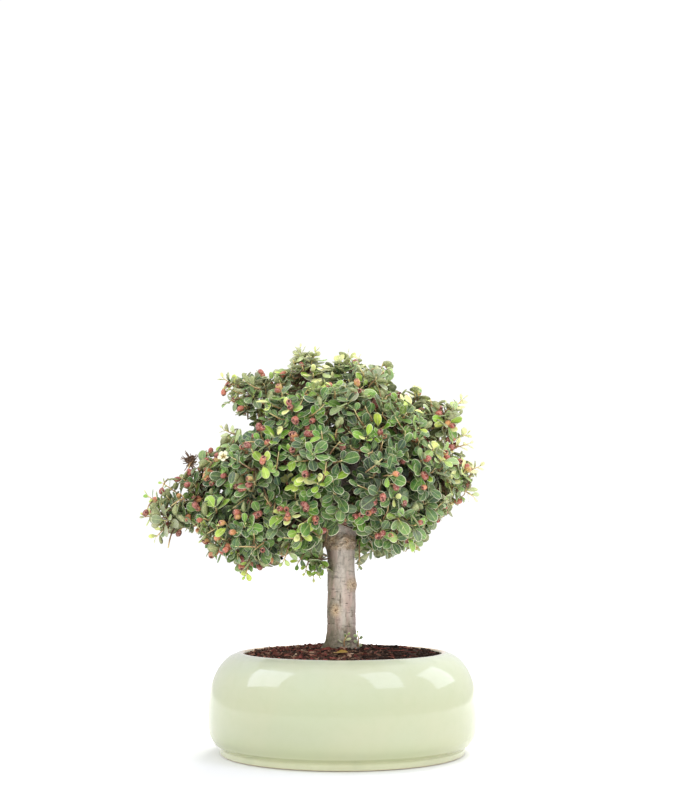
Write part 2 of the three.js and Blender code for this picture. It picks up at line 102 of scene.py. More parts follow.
# The crown's sprays, as in the part: middle and reach.
SPRAYS = np.array([
    (-29, -8, 289, 27), (4, 8, 286, 28), (21, -14, 284, 25), (-73, -6, 279, 22),
    (-36, 34, 270, 28), (4, 48, 263, 30), (42, 32, 259, 27), (57, 6, 261, 26), (77, -12, 257, 20),
    (-37, -48, 257, 28), (0, -56, 259, 29), (36, -52, 250, 28), (-58, -2, 254, 21),
    (80, -6, 217, 28), (72, 44, 222, 28), (30, 72, 222, 30), (-12, 74, 222, 30),
    (-54, 58, 220, 30), (-86, 24, 218, 26), (-84, -22, 219, 27), (-58, -60, 220, 30),
    (-18, -73, 221, 30), (24, -72, 217, 30), (60, -50, 216, 28), (-114, -4, 207, 23),
    (-132, -12, 185, 22), (-105, 24, 186, 24), (-92, -36, 179, 25), (-70, -56, 169, 28),
    (-34, -62, 182, 26), (2, -64, 196, 25), (36, -58, 182, 27), (60, -26, 193, 25),
    (63, 26, 194, 25), (44, 58, 178, 28), (2, 66, 180, 28), (-40, 62, 178, 28),
    (-78, 46, 174, 28), (-68, -4, 164, 24), (-32, 22, 171, 20), (32, 16, 170, 22),
    (18, -26, 168, 18), (-17, -13, 147, 12),
], float)
CENTRES, REACHES = SPRAYS[:, :3], SPRAYS[:, 3]
CROWN_MIDDLE = np.array([-8.0, 0, 204])
# Where the fallen leaf's base lies, its length and its bearing.
FALLEN_LEAF = (-7, -49, 10, 8)

# Pale tufts and dark hollows in the crown as seen from the front, read off the photograph:
# x and z, and for the hollows their radius.
PALE_TUFTS = np.array([
    (-34, 314), (-26, 308), (4, 310), (32, 305), (-93, 293), (-64, 293), (5, 279), (58, 283),
    (92, 273), (87, 246), (103, 221), (97, 198), (84, 191), (-61, 218), (-92, 246), (-140, 174),
    (-40, 184), (52, 172), (78, 262), (72, 236), (20, 295),
], float)
HOLLOWS = np.array([
    (-14, 193, 8), (10, 257, 7), (-16, 255, 6), (8, 222, 8), (-13, 239, 6), (-52, 207, 6),
    (-38, 283, 6), (-80, 223, 6), (50, 220, 6), (77, 208, 6), (-66, 262, 5), (42, 189, 6),
], float)
# The crown's outline from the front, x and z on the plane y = 0, also read off.
CROWN_OUTLINE = np.array([
    (-96, 281), (-93, 296), (-62, 299), (-44, 301), (-37, 318), (-24, 316), (-17, 306), (4, 316),
    (18, 302), (37, 308), (41, 287), (61, 286), (71, 274), (97, 275), (90, 252), (92, 235),
    (108, 222), (101, 196), (74, 177), (60, 157), (36, 150), (15, 150), (14, 137), (-21, 133),
    (-27, 149), (-42, 151), (-58, 143), (-84, 142), (-114, 153), (-122, 172), (-144, 169),
    (-157, 185), (-146, 208), (-128, 217), (-115, 222), (-111, 234), (-98, 239), (-94, 251),
    (-81, 255), (-88, 276),
], float)

# Bare wood that no leaf hides, as seen from the front: its middle x, half of its width, lowest and
# highest z, and how far in front of the tree's middle it reaches.
BARE_PLACES = [(-1, 16, 149, 169, 7), (-1, 13, 0, 149, 7), (3, 6, 149, 178, 5)]

# Half of a leaf's outline from the petiole to the tip, as share of length and of half width, for
# the leaves on the crown's skin and for those in its depth.
LEAF_STATIONS = [(0.0, 0.07), (0.16, 0.42), (0.36, 0.84), (0.6, 1.0), (0.82, 0.84), (0.95, 0.47)]
DEEP_LEAF_STATIONS = [(0.0, 0.08), (0.3, 0.76), (0.63, 1.0), (0.9, 0.64)]
PETIOLE_END = -0.16
LEAF_MARGIN = 0.13

# How shoots are spread over a spray: their distance apart and how far their tips stay inside the
# skin, so that the leaves end at it.
SHOOT_SPACING = 12.2
TIP_INSET = 6.5
# The crown's skin rounds off the valleys between sprays over this distance, and there a tip may
# stand this much outside its spray's reach.
VALLEY_FILL = 5.0
VALLEY_REACH = 7
# Share of the outer shoots that are long and leafy.
LONG_SHOOTS = 0.3
SHORT_SHOOT = 4.5

# Single shoots that stand out of the crown or grow from the trunk: where each starts and ends, how
# pale its leaves are and how large.
SPRIGS = [
    ((-28, -8, 298), (-34, -9, 316), 0.5, 0.8), ((-27, -5, 298), (-21, -7, 314), 0.35, 0.7),
    ((5, 2, 294), (4, 0, 313), 0.2, 0.75), ((14, -6, 292), (13, -8, 309), 0.3, 0.7),
    ((-78, -8, 284), (-95, -9, 292), 0.5, 0.8), ((-80, -10, 276), (-93, -13, 271), 0.1, 0.8),
    ((-78, -12, 244), (-94, -13, 251), 0.25, 0.85), ((-126, -8, 198), (-142, -8, 209), 0.2, 0.7),
    ((-138, -12, 190), (-153, -14, 199), 0.3, 0.8), ((-140, -12, 184), (-155, -14, 182), 0.35, 0.8),
    ((-136, -14, 176), (-146, -16, 166), 0.4, 0.8), ((82, -12, 262), (95, -13, 275), 0.6, 0.85),
    ((84, -10, 244), (98, -12, 247), 0.5, 0.85), ((84, -12, 236), (100, -12, 240), 0.45, 0.8),
    ((94, -6, 218), (108, -8, 222), 0.4, 0.85), ((92, -10, 206), (103, -11, 198), 0.3, 0.85),
    ((50, -32, 172), (57, -34, 159), 0.25, 0.8), ((-20, -12, 150), (-23, -14, 135), 0.4, 0.6),
    ((-25, -14, 150), (-29, -16, 139), 0.35, 0.65), ((-17, -14, 152), (-19, -17, 138), 0.3, 0.8),
    ((-30, -16, 154), (-35, -20, 146), 0.25, 0.85), ((13, -6, 160), (12.5, -8, 143), -0.1, 0.6),
    ((3, -12.5, 80), (3.5, -16, 91), 0.1, 0.5), ((11, -8, 80), (11.5, -12, 92), 0.15, 0.45),
    ((-70, -58, 150), (-72, -62, 138), 0.25, 0.8), ((-40, -62, 160), (-44, -66, 148), 0.2, 0.8),
]
# Tips where no spray reaches but the outline needs leaves.
LONE_TIPS = np.array([
    (-56, -4, 291), (-50, 4, 294), (-61, 6, 288), (-46, -8, 299), (-51, -12, 287), (-91, -9, 246),
    (-95, -10, 240), (-99, -6, 235), (-90, 2, 239), (-110, -8, 226), (-106, -10, 232), (70, -4, 276),
    (58, 0, 280), (36, 4, 302), (33, -6, 306), (89, -8, 270), (92, -2, 262), (-13, -17, 176),
    (-9, -15, 182), (14, -15, 177), (-18, -20, 172), (-33, -10, 311), (-24, -6, 311), (6, -4, 308),
    (-89, -12, 287), (-92, -8, 290), (-66, -6, 292),
], float)
HANGING_FRUIT = np.array([
    (-94, -12, 283), (-153, -14, 188), (-141, -16, 205), (-71, -42, 148), (-77, -44, 147),
    (-65, -42, 146), (44, -42, 170), (48, -40, 167), (-100, -30, 156), (-126, -18, 172),
    (98, -14, 210), (-107, -34, 214), (-104, -30, 218), (-121, -16, 220),
], float)
BLOSSOM = np.array([-90.0, -53, 227])
DRY_TUFT = np.array([-120.0, -10, 226])
DEAD_TWIG = [(-130, -14, 176), (-134, -15, 168), (-136, -16, 158)]

# A berry's outline, as radius and distance from its stalk. It ends in the pit between its lobes.
BERRY_PROFILE = np.array([
    (0.9, 0.1), (2.1, 1.25), (2.66, 2.9), (2.6, 4.4), (2.25, 5.6), (1.8, 6.2), (1.5, 6.0), (0.8, 5.2),
])
BERRY_SIDES = 10
BERRY_LOBES = 5

# Where the photograph's camera stands, how far it looks up in degrees, and its lens.
CAMERA_AT = (0.00575, -1.127, 0.165)
CAMERA_PITCH = 5.6
CAMERA_LENS = 63.81
# Every lamp faces the bowl. Each row: the lamp's middle, the direction of its first side, both
# sides, radiance, and whether it shows in reflections.
LAMPS_FACE = (0, 0, 0.06)
LAMPS = [
    ((-1.0, -0.1, 0.95), (0.6, 0.5, 0.7), 0.72, 0.76, 2.4, True),
    ((0.65, -0.6, 1.1), (0.75, 0.65, -0.1), 0.56, 0.9, 2.15, True),
    ((1.1, 0.3, 0.75), (-0.2, 1, -0.05), 0.68, 0.64, 1.95, True),
    ((0.45, 0.95, 1.25), (0.9, -0.43, 0), 1.3, 1.0, 6.0, False),
    ((-0.1, -2.0, 1.0), (1, 0, 0), 1.6, 1.2, 2.2, False),
]
COOL_LIGHT = (0.95, 0.98, 1.25)
WARM_LIGHT = (1, 1, 0.93)
# The white backdrop's strength as light and as the camera sees it.
BACKDROP_LIGHT = 0.88
BACKDROP_SEEN = 1.05


# Noise and curves


def lattice(x, y, z, seed):
    """A repeatable number from -1 to 1 for each whole-number corner."""
    h = (x * 374761393 + y * 668265263 + z * 1440662683 + seed * 144665 + 1013904223) & 0xFFFFFFFF
    h = ((h ^ (h >> 13)) * 1274126177) & 0xFFFFFFFF
    h = ((h ^ (h >> 16)) * 668265263) & 0xFFFFFFFF
    return ((h ^ (h >> 15)) & 0xFFFFF) / 524287.5 - 1


def lumps(points, seed):
    """Smooth noise from -1 to 1, one lump to a unit."""
    points = np.asarray(points, float)
    base = np.floor(points).astype(np.int64)
    part = points - base
    part = part**3 * (part * (part * 6 - 15) + 10)
    total = np.zeros(len(points))
    for corner in np.ndindex(2, 2, 2):
        weight = np.where(corner, part, 1 - part)
        x, y, z = (base + corner).T
        total += weight[:, 0] * weight[:, 1] * weight[:, 2] * lattice(x, y, z, seed)
    return total


def fractal(points, octaves, seed):
    """Noise from -1 to 1 with lumps of several sizes, each half as large as the one before."""
    points = np.asarray(points, float)
    total, size, most = np.zeros(len(points)), 1.0, 0.0
    for octave in range(octaves):
        total += size * lumps(points * 2**octave, seed + 17 * octave)
        most += size
        size *= 0.5
    return total / most


def unit(v):
    v = np.asarray(v, float)
    return v / np.maximum(np.linalg.norm(v, axis=-1, keepdims=True), 1e-9)


def spokes(first, second, turn):
    """Directions turned by the given angles from the first one towards the second."""
    return np.cos(turn)[:, None] * first + np.sin(turn)[:, None] * second


def round_turns(sides):
    """Angles spread evenly over a full turn."""
    return TURN * np.arange(sides) / sides


def run_along(line):
    """How far along a line each of its points lies."""
    return np.concatenate([[0], np.cumsum(np.linalg.norm(np.diff(line, axis=0), axis=1))])


def points_at(line, at, along):
    """Points of a line at given distances along it."""
    return np.stack([np.interp(at, along, column) for column in line.T], 1)


def smooth_line(points, steps):
    """Points spaced evenly along a smooth curve through the given ones."""
    p = np.asarray(points, float)
    p = np.vstack([2 * p[0] - p[1], p, 2 * p[-1] - p[-2]])
    t = np.linspace(0, 1, 24, endpoint=False)[:, None]
    out = []
    for a, b, c, d in zip(p[:-3], p[1:-2], p[2:-1], p[3:]):
        out.append(0.5 * (2 * b + (c - a) * t + (2 * a - 5 * b + 4 * c - d) * t**2
                          + (3 * b - a - 3 * c + d) * t**3))
    line = np.vstack([*out, p[-2:-1]])
    along = run_along(line)
    return points_at(line, np.linspace(0, along[-1], steps + 1), along)


def sphere_directions(count, spin):
    """Directions spread evenly over a sphere."""
    k = np.arange(count) + 0.5
    z = 1 - 2 * k / count
    turn = k * GOLDEN_ANGLE + spin
    r = np.sqrt(1 - z * z)
    return np.stack([r * np.cos(turn), r * np.sin(turn), z], 1)


# Meshes


def add_object(name, data):
    made = bpy.data.objects.new(name, data)
    bpy.context.scene.collection.objects.link(made)
    return made


class Body:
    """Closed shells gathered into one mesh, with a number or more for each point or face."""

    def __init__(self):
        self.points, self.faces, self.count = [], [], 0
        self.values, self.face_values, self.uvs = {}, {}, []

    def add(self, points, faces, values=None, face_values=None, uvs=None):
        self.points.append(np.asarray(points, float))
        self.faces.append(np.asarray(faces, int) + self.count)
        self.count += len(points)
        for key, value in (values or {}).items():
            self.values.setdefault(key, []).append(np.broadcast_to(value, (len(points),)))
        for key, value in (face_values or {}).items():
            self.face_values.setdefault(key, []).append(np.broadcast_to(value, (len(faces),)))
        if uvs is not None:
            self.uvs.append(uvs)

    def build(self, name, material, slot, smooth=True):
        points = np.vstack(self.points) * MM
        faces = np.vstack(self.faces)
        mesh = bpy.data.meshes.new(name)
        mesh.vertices.add(len(points))
        mesh.vertices.foreach_set("co", points.astype(np.float32).ravel())
        mesh.loops.add(3 * len(faces))
        mesh.loops.foreach_set("vertex_index", faces.astype(np.int32).ravel())
        mesh.polygons.add(len(faces))
        mesh.polygons.foreach_set("loop_start", np.arange(0, 3 * len(faces), 3, dtype=np.int32))
        mesh.update(calc_edges=True)
        mesh.polygons.foreach_set("use_smooth", np.full(len(faces), smooth))
        for values, domain in ((self.values, "POINT"), (self.face_values, "FACE")):
            for key, value in values.items():
                made = mesh.attributes.new(key, "FLOAT", domain)
                made.data.foreach_set("value", np.concatenate(value).astype(np.float32))
        if self.uvs:
            flat = np.vstack(self.uvs)[faces.ravel()]
            mesh.uv_layers.new(name="blade").data.foreach_set("uv", flat.astype(np.float32).ravel())
        mesh.validate()
        mesh.materials.append(material)
        made = add_object(name, mesh)
        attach(made, "root")
        return made


def rings_to_faces(rings, sides):
    """Triangles of a closed tube of rings, with a middle point at each end after the rings."""
    i, k = np.meshgrid(np.arange(rings - 1), np.arange(sides), indexing="ij")
    a = (i * sides + k).ravel()
    b = (i * sides + (k + 1) % sides).ravel()
    wall = np.concatenate([np.stack([a, b, b + sides], 1), np.stack([a, b + sides, a + sides], 1)])
    k = np.arange(sides)
    first = np.stack([np.full(sides, rings * sides), (k + 1) % sides, k], 1)
    last = (rings - 1) * sides
    end = np.stack([np.full(sides, rings * sides + 1), last + k, last + (k + 1) % sides], 1)
    return np.concatenate([wall, first, end])


def tube(line, radii, sides):
    """Points and faces of a round tube along a line, whose rings turn as little as they can."""
    line = np.asarray(line, float)
    ahead = unit(np.gradient(line, axis=0))
    across = [unit(np.cross(ahead[0], UP if abs(ahead[0][2]) < 0.9 else np.array([1.0, 0, 0])))]
    for direction in ahead[1:]:
        across.append(unit(across[-1] - direction * (across[-1] @ direction)))
    across = np.array(across)
    ring = spokes(across[:, None], np.cross(ahead, across)[:, None], round_turns(sides))
    radii = np.broadcast_to(radii, (len(line),))
    points = line[:, None] + radii[:, None, None] * ring
    return np.vstack([points.reshape(-1, 3), line[:1], line[-1:]]), rings_to_faces(len(line), sides)


# Materials


def tone(red, green, blue):
    """A colour from eight-bit screen values."""
    parts = [c / 255 for c in (red, green, blue)]
    return (*[c / 12.92 if c <= 0.04045 else ((c + 0.055) / 1.055) ** 2.4 for c in parts], 1)


class Recipe:
    """A material built in steps around one Principled shader, with its colour and relief so far."""

    def __init__(self, name, **constants):
        self.material = bpy.data.materials.new(name)
        self.material.use_nodes = True
        self.tree = self.material.node_tree
        self.shader = self.tree.nodes["Principled BSDF"]
        self.colour = self.normal = None
        for key, value in constants.items():
            self.shader.inputs[key.replace("_", " ")].default_value = value

    def node(self, kind, values, **settings):
        made = self.tree.nodes.new("ShaderNode" + kind)
        for key, value in settings.items():
            setattr(made, key, value)
        for key, value in values.items():
            if isinstance(value, bpy.types.NodeSocket):
                self.tree.links.new(value, made.inputs[key])
            else:
                made.inputs[key].default_value = value
        return made

    def place(self, stretch=(1, 1, 1)):
        at = self.node("TexCoord", {}).outputs["Object"]
        return self.node("Mapping", {"Vector": at, "Scale": stretch}).outputs[0]

    def position(self):
        return self.node("SeparateXYZ", {0: self.place()}).outputs

    def from_axis(self):
        """A point's distance from the upright axis."""
        x, y, _ = self.position()
        return self.math("SQRT", self.math("ADD", self.times(x, x), self.times(y, y)))

    def blade(self):
        """How far along its blade a point of a leaf lies, and how far off the midrib."""
        at = self.node("UVMap", {}, uv_map="blade").outputs[0]
        along, across, _ = self.node("SeparateXYZ", {0: at}).outputs
        return along, self.math("ABSOLUTE", self.math("SUBTRACT", across, 0.5))

    def value(self, name):
        return self.node("Attribute", {}, attribute_name=name).outputs["Fac"]

    def noise(self, size, detail=3, roughness=0.5, stretch=(1, 1, 1)):
        """Noise with lumps of a size in millimetres."""
        values = {"Vector": self.place(stretch), "Scale": 1 / (size * MM)}
        return self.node("TexNoise", {**values, "Detail": detail, "Roughness": roughness}).outputs[0]

    def cells(self, size, stretch=(1, 1, 1), output="Distance"):
        """Cells of a size in millimetres."""
        values = {"Vector": self.place(stretch), "Scale": 1 / (size * MM)}
        return self.node("TexVoronoi", values).outputs[output]

    def math(self, operation, a, b=0.0):
        return self.node("Math", {0: a, 1: b}, operation=operation).outputs[0]

    def times(self, a, b):
        return self.math("MULTIPLY", a, b)

    def band(self, value, low, high, to_low=0.0, to_high=1.0):
        """Leads smoothly from one value to another while the input goes from low to high."""
        values = {"Value": value, 1: low, 2: high, 3: to_low, 4: to_high}
        return self.node("MapRange", values, interpolation_type="SMOOTHSTEP").outputs[0]

    def patches(self, size, detail, low, high, most=1.0):
        """Soft patches of noise, from nothing up to the most."""
        return self.band(self.noise(size, detail), low, high, 0, most)

    def rough(self, size, low, high):
        """Roughness that wanders between two values."""
        return self.band(self.noise(size), 0.3, 0.7, low, high)

    def mix(self, factor, a, b):
        a, b = (tone(*c) if isinstance(c, tuple) else c for c in (a, b))
        return self.node("Mix", {0: factor, 6: a, 7: b}, data_type="RGBA").outputs[2]

    def ramp(self, factor, stops):
        made = self.node("ValToRGB", {0: factor})
        points = made.color_ramp.elements
        while len(points) < len(stops):
            points.new(0.5)
        for point, (at, colour) in zip(points, stops):
            point.position = at
            point.color = tone(*colour)
        return made.outputs[0]

    def paint(self, factor, over):
        """Lays a colour over the one so far, as far as the factor says."""
        self.colour = self.mix(factor, self.colour, over)

    def bump(self, height, distance, strength):
        """Adds relief, a number of millimetres deep, to what is there."""
        values = {"Height": height, "Distance": distance * MM, "Strength": strength}
        if self.normal:
            values["Normal"] = self.normal
        self.normal = self.node("Bump", values).outputs[0]

    def done(self, roughness=None, glow=None):
        outputs = {
            "Base Color": self.colour, "Normal": self.normal, "Roughness": roughness,
            "Emission Strength": glow,
        }
        for key, socket in outputs.items():
            if socket:
                self.tree.links.new(socket, self.shader.inputs[key])
        return self.material


def glaze_material():
    r = Recipe("glaze", Coat_Weight=0.2, Coat_Roughness=0.03, IOR=1.5)
    z = r.position()[2]
    # Painted light: the colour is lighter at the foot and in the groove above it, to offset their shade
    # near the floor.
    r.colour = r.ramp(r.math("DIVIDE", z, BOWL_HEIGHT * MM), [
        (0.0, (212, 214, 182)), (0.055, (208, 211, 176)), (0.08, (199, 202, 162)),
        (0.13, (183, 189, 150)), (0.3, (183, 189, 156)), (0.6, (182, 189, 156)),
        (0.88, (188, 195, 167)), (1.0, (196, 201, 177)),
    ])
    r.paint(r.patches(55, 2, 0.35, 0.7, 0.3), (196, 192, 158))
    r.paint(r.patches(26, 3, 0.5, 0.75, 0.22), (176, 188, 154))
    r.paint(r.patches(7, 4, 0.4, 0.75, 0.12), (172, 180, 140))
    specks = r.times(r.band(r.cells(5.5), 0.0, 0.07, 1, 0), r.patches(14, 1, 0.52, 0.6, 0.3))
    r.paint(specks, (150, 140, 100))
    lip = r.times(r.band(r.from_axis(), 0.0812, 0.0792), r.band(z, 0.0752, 0.0765))
    r.paint(r.times(lip, 0.8), (216, 182, 152))
    # The bare clay ring at the foot, its colour painted lighter so that its contact shade shows no dark
    # line.
    bare_clay_painted_lighter = r.band(z, 0.0009, 0.0004)
    r.paint(bare_clay_painted_lighter, (216, 206, 178))
    r.bump(r.noise(22, 1), 0.35, 0.5)
    r.bump(r.noise(1.6, 2), 0.02, 0.25)
    gloss = r.band(r.noise(6), 0.3, 0.8, 0.06, 0.14)
    return r.done(r.math("ADD", gloss, r.times(bare_clay_painted_lighter, 0.6)))


def bark_material():
    r = Recipe("bark")
    x, _, z = r.position()
    fibre = r.noise(2.4, 6, 0.68, (1, 1, 0.26))
    patch = r.noise(11, 3, 0.55, (1, 1, 0.4))
    r.colour = r.ramp(fibre, [
        (0.22, (80, 71, 61)), (0.38, (140, 128, 113)), (0.5, (184, 171, 156)),
        (0.62, (208, 196, 183)), (0.8, (230, 221, 211)),
    ])
    # An olive tone that is also painted shade on the trunk's left side, with olive patches.
    olive_and_shaded_left_side = r.band(x, -0.003, -0.0095, 0, 0.55)
    r.paint(r.math("ADD", olive_and_shaded_left_side, r.band(patch, 0.46, 0.66, 0, 0.4)), (128, 124, 96))
    rosy = r.band(r.noise(6, 3, 0.5, (1, 1, 0.35)), 0.46, 0.64)
    r.paint(r.times(rosy, 0.55), (214, 182, 170))
    rings = r.noise(1.9, 5, 0.72, (0.3, 0.3, 1.5))
    cracks = r.times(r.band(rings, 0.34, 0.43, 1, 0), r.band(patch, 0.3, 0.6, 0.5, 1))
    r.paint(r.times(cracks, 0.8), (62, 50, 42))
    splits = r.band(r.noise(1.3, 4, 0.6, (1, 1, 0.12)), 0.3, 0.4, 1, 0)
    r.paint(r.times(splits, 0.34), (70, 58, 48))
    dots = r.band(r.cells(3.1, (1, 1, 1.7)), 0.05, 0.16, 1, 0)
    r.paint(r.times(dots, 0.6), (226, 206, 186))
    scar = r.value("scar")
    r.paint(scar, r.ramp(r.noise(1.1, 5, 0.75), [
        (0.32, (104, 78, 60)), (0.44, (190, 156, 122)), (0.56, (230, 206, 170)),
        (0.72, (246, 232, 206)),
    ]))
    r.paint(r.value("pit"), (30, 20, 16))
    moss_share = r.times(r.value("moss"), r.band(r.noise(3, 4), 0.36, 0.58, 0.1, 0.85))
    r.paint(moss_share, r.mix(r.patches(1.4, 3, 0.4, 0.6), (70, 66, 46), (112, 112, 72)))
    # Painted highlight: a pale band down the middle of the trunk's front, along its fibres.
    painted_highlight_streak = r.band(r.math("ABSOLUTE", r.math("ADD", x, 0.0005)), 0.0042, 0.001, 0, 0.4)
    r.paint(r.times(painted_highlight_streak, r.band(fibre, 0.36, 0.5)), (236, 228, 216))
    r.paint(r.value("twig"), r.ramp(r.noise(2), [(0.3, (92, 62, 42)), (0.7, (142, 108, 76))]))
    low_trunk = r.band(z, 0.104, 0.084, 0, 0.46)
    r.paint(low_trunk, (82, 76, 56))
    # Painted light: the upper trunk is lighter, except on its left side and its scars, where the crown
    # shades it.
    painted_light_upper_trunk = r.times(r.band(z, 0.11, 0.145, 0, 0.3), r.band(scar, 0.4, 0.0))
    r.paint(r.times(painted_light_upper_trunk, r.band(x, -0.0095, -0.004)), (250, 238, 228))
    # Painted shade: the trunk darkens where it goes up into the crown.
    painted_crown_shade = r.band(z, 0.1725, 0.179, 0, 0.72)
    r.paint(painted_crown_shade, (64, 50, 38))
    # Painted shade: both side edges of the trunk are darker.
    painted_shade_right_edge = r.band(x, 0.0035, 0.0105, 0, 0.4)
    r.paint(painted_shade_right_edge, (120, 108, 102))
    painted_shade_left_edge = r.band(x, -0.005, -0.0115, 0, 0.3)
    r.paint(painted_shade_left_edge, (96, 84, 68))
    r.bump(fibre, 0.7, 0.9)
    r.bump(cracks, -0.5, 0.8)
    r.bump(splits, -0.4, 0.7)
    r.bump(r.noise(0.6), 0.15, 0.5)
    return r.done(r.band(patch, 0.2, 0.8, 0.7, 0.9))


def shoot_material():
    r = Recipe("shoot_bark")
    age = r.value("age")
    r.colour = r.ramp(age, [
        (0.0, (70, 48, 36)), (0.4, (98, 68, 48)), (0.7, (160, 120, 78)), (0.86, (206, 176, 116)),
        (1.0, (222, 214, 148)),
    ])
    r.paint(r.times(age, r.patches(1.2, 3, 0.35, 0.7, 0.5)), (238, 216, 172))
    r.bump(r.noise(0.35, 2), 0.08, 0.6)
    return r.done(r.rough(3, 0.55, 0.8))


def leaf_material():
    r = Recipe("leaf", IOR=1.45, Specular_IOR_Level=0.4)
    along, off = r.blade()
    tint, under = r.value("tint"), r.value("under")
    r.colour = r.ramp(tint, [
        (0.0, (18, 38, 24)), (0.2, (30, 66, 32)), (0.42, (52, 105, 39)), (0.6, (96, 156, 36)),
        (0.76, (152, 194, 42)), (0.88, (204, 220, 80)), (1.0, (238, 238, 160)),
    ])
    r.paint(r.patches(3.0, 4, 0.38, 0.66, 0.45), r.mix(tint, (74, 122, 70), (190, 212, 92)))
    shade = r.patches(5.5, 3, 0.42, 0.62, 0.5)
    r.paint(r.times(shade, r.band(along, 1.0, 0.3)), (24, 48, 32))
    teal = r.patches(8, 2, 0.46, 0.6, 0.42)
    r.paint(r.times(teal, r.band(tint, 0.7, 0.3)), (38, 76, 60))
    vein_line = r.math("SUBTRACT", r.times(along, 6.5), r.times(off, 5.0))
    vein_wave = r.math("ABSOLUTE", r.math("SUBTRACT", r.math("FRACT", vein_line), 0.5))
    midrib = r.band(off, 0.05, 0.012)
    ribs = r.math("MAXIMUM", r.times(midrib, 0.55), r.band(vein_wave, 0.36, 0.5, 0, 0.2))
    r.paint(ribs, r.mix(tint, (158, 182, 116), (228, 236, 160)))
    r.paint(r.times(r.band(r.value("edge"), 0.1, 0.6), r.value("cream")), (242, 240, 206))
    underside = r.mix(r.patches(0.8, 3, 0.3, 0.7), (138, 152, 98), (192, 198, 144))
    r.paint(under, r.mix(r.times(midrib, 0.8), underside, (206, 202, 146)))
    # Pale young leaves and petals, and also painted light along the crown's outline, on top and at the
    # right.
    r.paint(r.value("pale"), r.mix(r.band(along, 0.0, 0.4), (226, 206, 124), (248, 244, 212)))
    # Painted shade: leaves deep in the crown are darker.
    r.paint(r.value("painted_depth_shade"), (16, 22, 15))
    r.bump(ribs, -0.16, 0.9)
    r.bump(r.noise(1.3, 2), 0.14, 0.5)
    return r.done(r.math("ADD", r.rough(2, 0.2, 0.38), r.times(under, 0.35)))


def berry_material():
    r = Recipe("berry", IOR=1.42, Coat_Weight=0.1, Coat_Roughness=0.25)
    r.colour = r.ramp(r.value("tint"), [
        (0.0, (90, 32, 32)), (0.25, (132, 52, 50)), (0.5, (164, 74, 66)), (0.7, (192, 106, 78)),
        (0.86, (208, 150, 84)), (1.0, (186, 174, 92)),
    ])
    r.paint(r.patches(2.2, 3, 0.4, 0.68, 0.5), (210, 132, 110))
    r.paint(r.patches(3.1, 2, 0.54, 0.7, 0.5), (130, 50, 52))
    r.paint(r.times(r.patches(0.6, 3, 0.5, 0.64), 0.6), (234, 198, 178))
    r.paint(r.value("calyx"), r.ramp(r.noise(0.8), [
        (0.34, (78, 34, 34)), (0.48, (150, 78, 70)), (0.6, (226, 182, 158)),
    ]))
    r.paint(r.value("pit"), (40, 18, 18))
    r.bump(r.noise(0.7, 2), 0.08, 0.6)
    return r.done(r.rough(2, 0.34, 0.52))


def soil_material():
    r = Recipe("soil_crumb", Specular_IOR_Level=0.15)
    x = r.position()[0]
    shade = r.node("SeparateColor", {0: r.cells(1.7, output="Color")}).outputs[0]
    r.colour = r.ramp(shade, [
        (0.0, (28, 20, 15)), (0.45, (58, 42, 33)), (0.75, (98, 70, 54)), (1.0, (146, 116, 92)),
    ])
    red = r.times(r.patches(9, 3, 0.44, 0.66, 0.65), r.band(x, 0.045, -0.03, 0.35, 1))
    r.paint(red, (114, 56, 49))
    r.paint(r.band(r.noise(14, 2), 0.34, 0.46, 0.75, 0), (24, 19, 14))
    # The soil is darker towards the right.
    darker_on_right = r.band(x, 0.0, 0.045, 0, 0.66)
    r.paint(darker_on_right, (18, 13, 10))
    r.bump(r.cells(1.7), 0.9, 0.8)
    r.bump(r.noise(0.6, 4), 0.3, 0.7)
    return r.done(r.rough(4, 0.8, 0.97))


def litter_material():
    r = Recipe("litter", Specular_IOR_Level=0.15)
    r.colour = r.ramp(r.value("tint"), [
        (0.0, (26, 19, 14)), (0.25, (56, 40, 31)), (0.42, (96, 68, 53)), (0.55, (112, 52, 47)),
        (0.72, (152, 84, 74)), (0.86, (182, 136, 112)), (1.0, (216, 194, 164)),
    ])
    grain = r.noise(1.3, 4, 0.6, (1, 0.4, 1))
    r.paint(r.band(grain, 0.35, 0.65, 0, 0.6), (38, 24, 20))
    r.bump(grain, 0.4, 0.7)
    return r.done(r.rough(3, 0.7, 0.92))


def dead_leaf_material():
    r = Recipe("dead_leaf_blade")
    along, off = r.blade()
    r.colour = r.ramp(r.noise(3, 4), [
        (0.3, (112, 78, 30)), (0.55, (158, 124, 50)), (0.75, (184, 152, 78)),
    ])
    r.paint(r.band(off, 0.05, 0.01, 0, 0.7), (226, 204, 140))
    r.paint(r.band(along, 0.8, 1.0, 0, 0.6), (112, 70, 34))
    r.bump(r.noise(1), 0.2, 0.6)
    return r.done(r.rough(2, 0.5, 0.7))


def floor_material():
    r = Recipe("studio_floor", Roughness=0.9, Emission_Color=(1, 1, 1, 1))
    # Painted light: the floor is darker near the bowl and glows more the farther it lies from it.
    away = r.from_axis()
    shade = r.ramp(r.noise(160, 2), [(0.3, (251, 251, 251)), (0.7, (253, 253, 253))])
    r.colour = r.mix(r.band(away, 0.25, 1.7), (236, 236, 236), shade)
    return r.done(glow=r.band(away, 0.35, 2.2, 0.03, 0.4))


# Bowl and soil


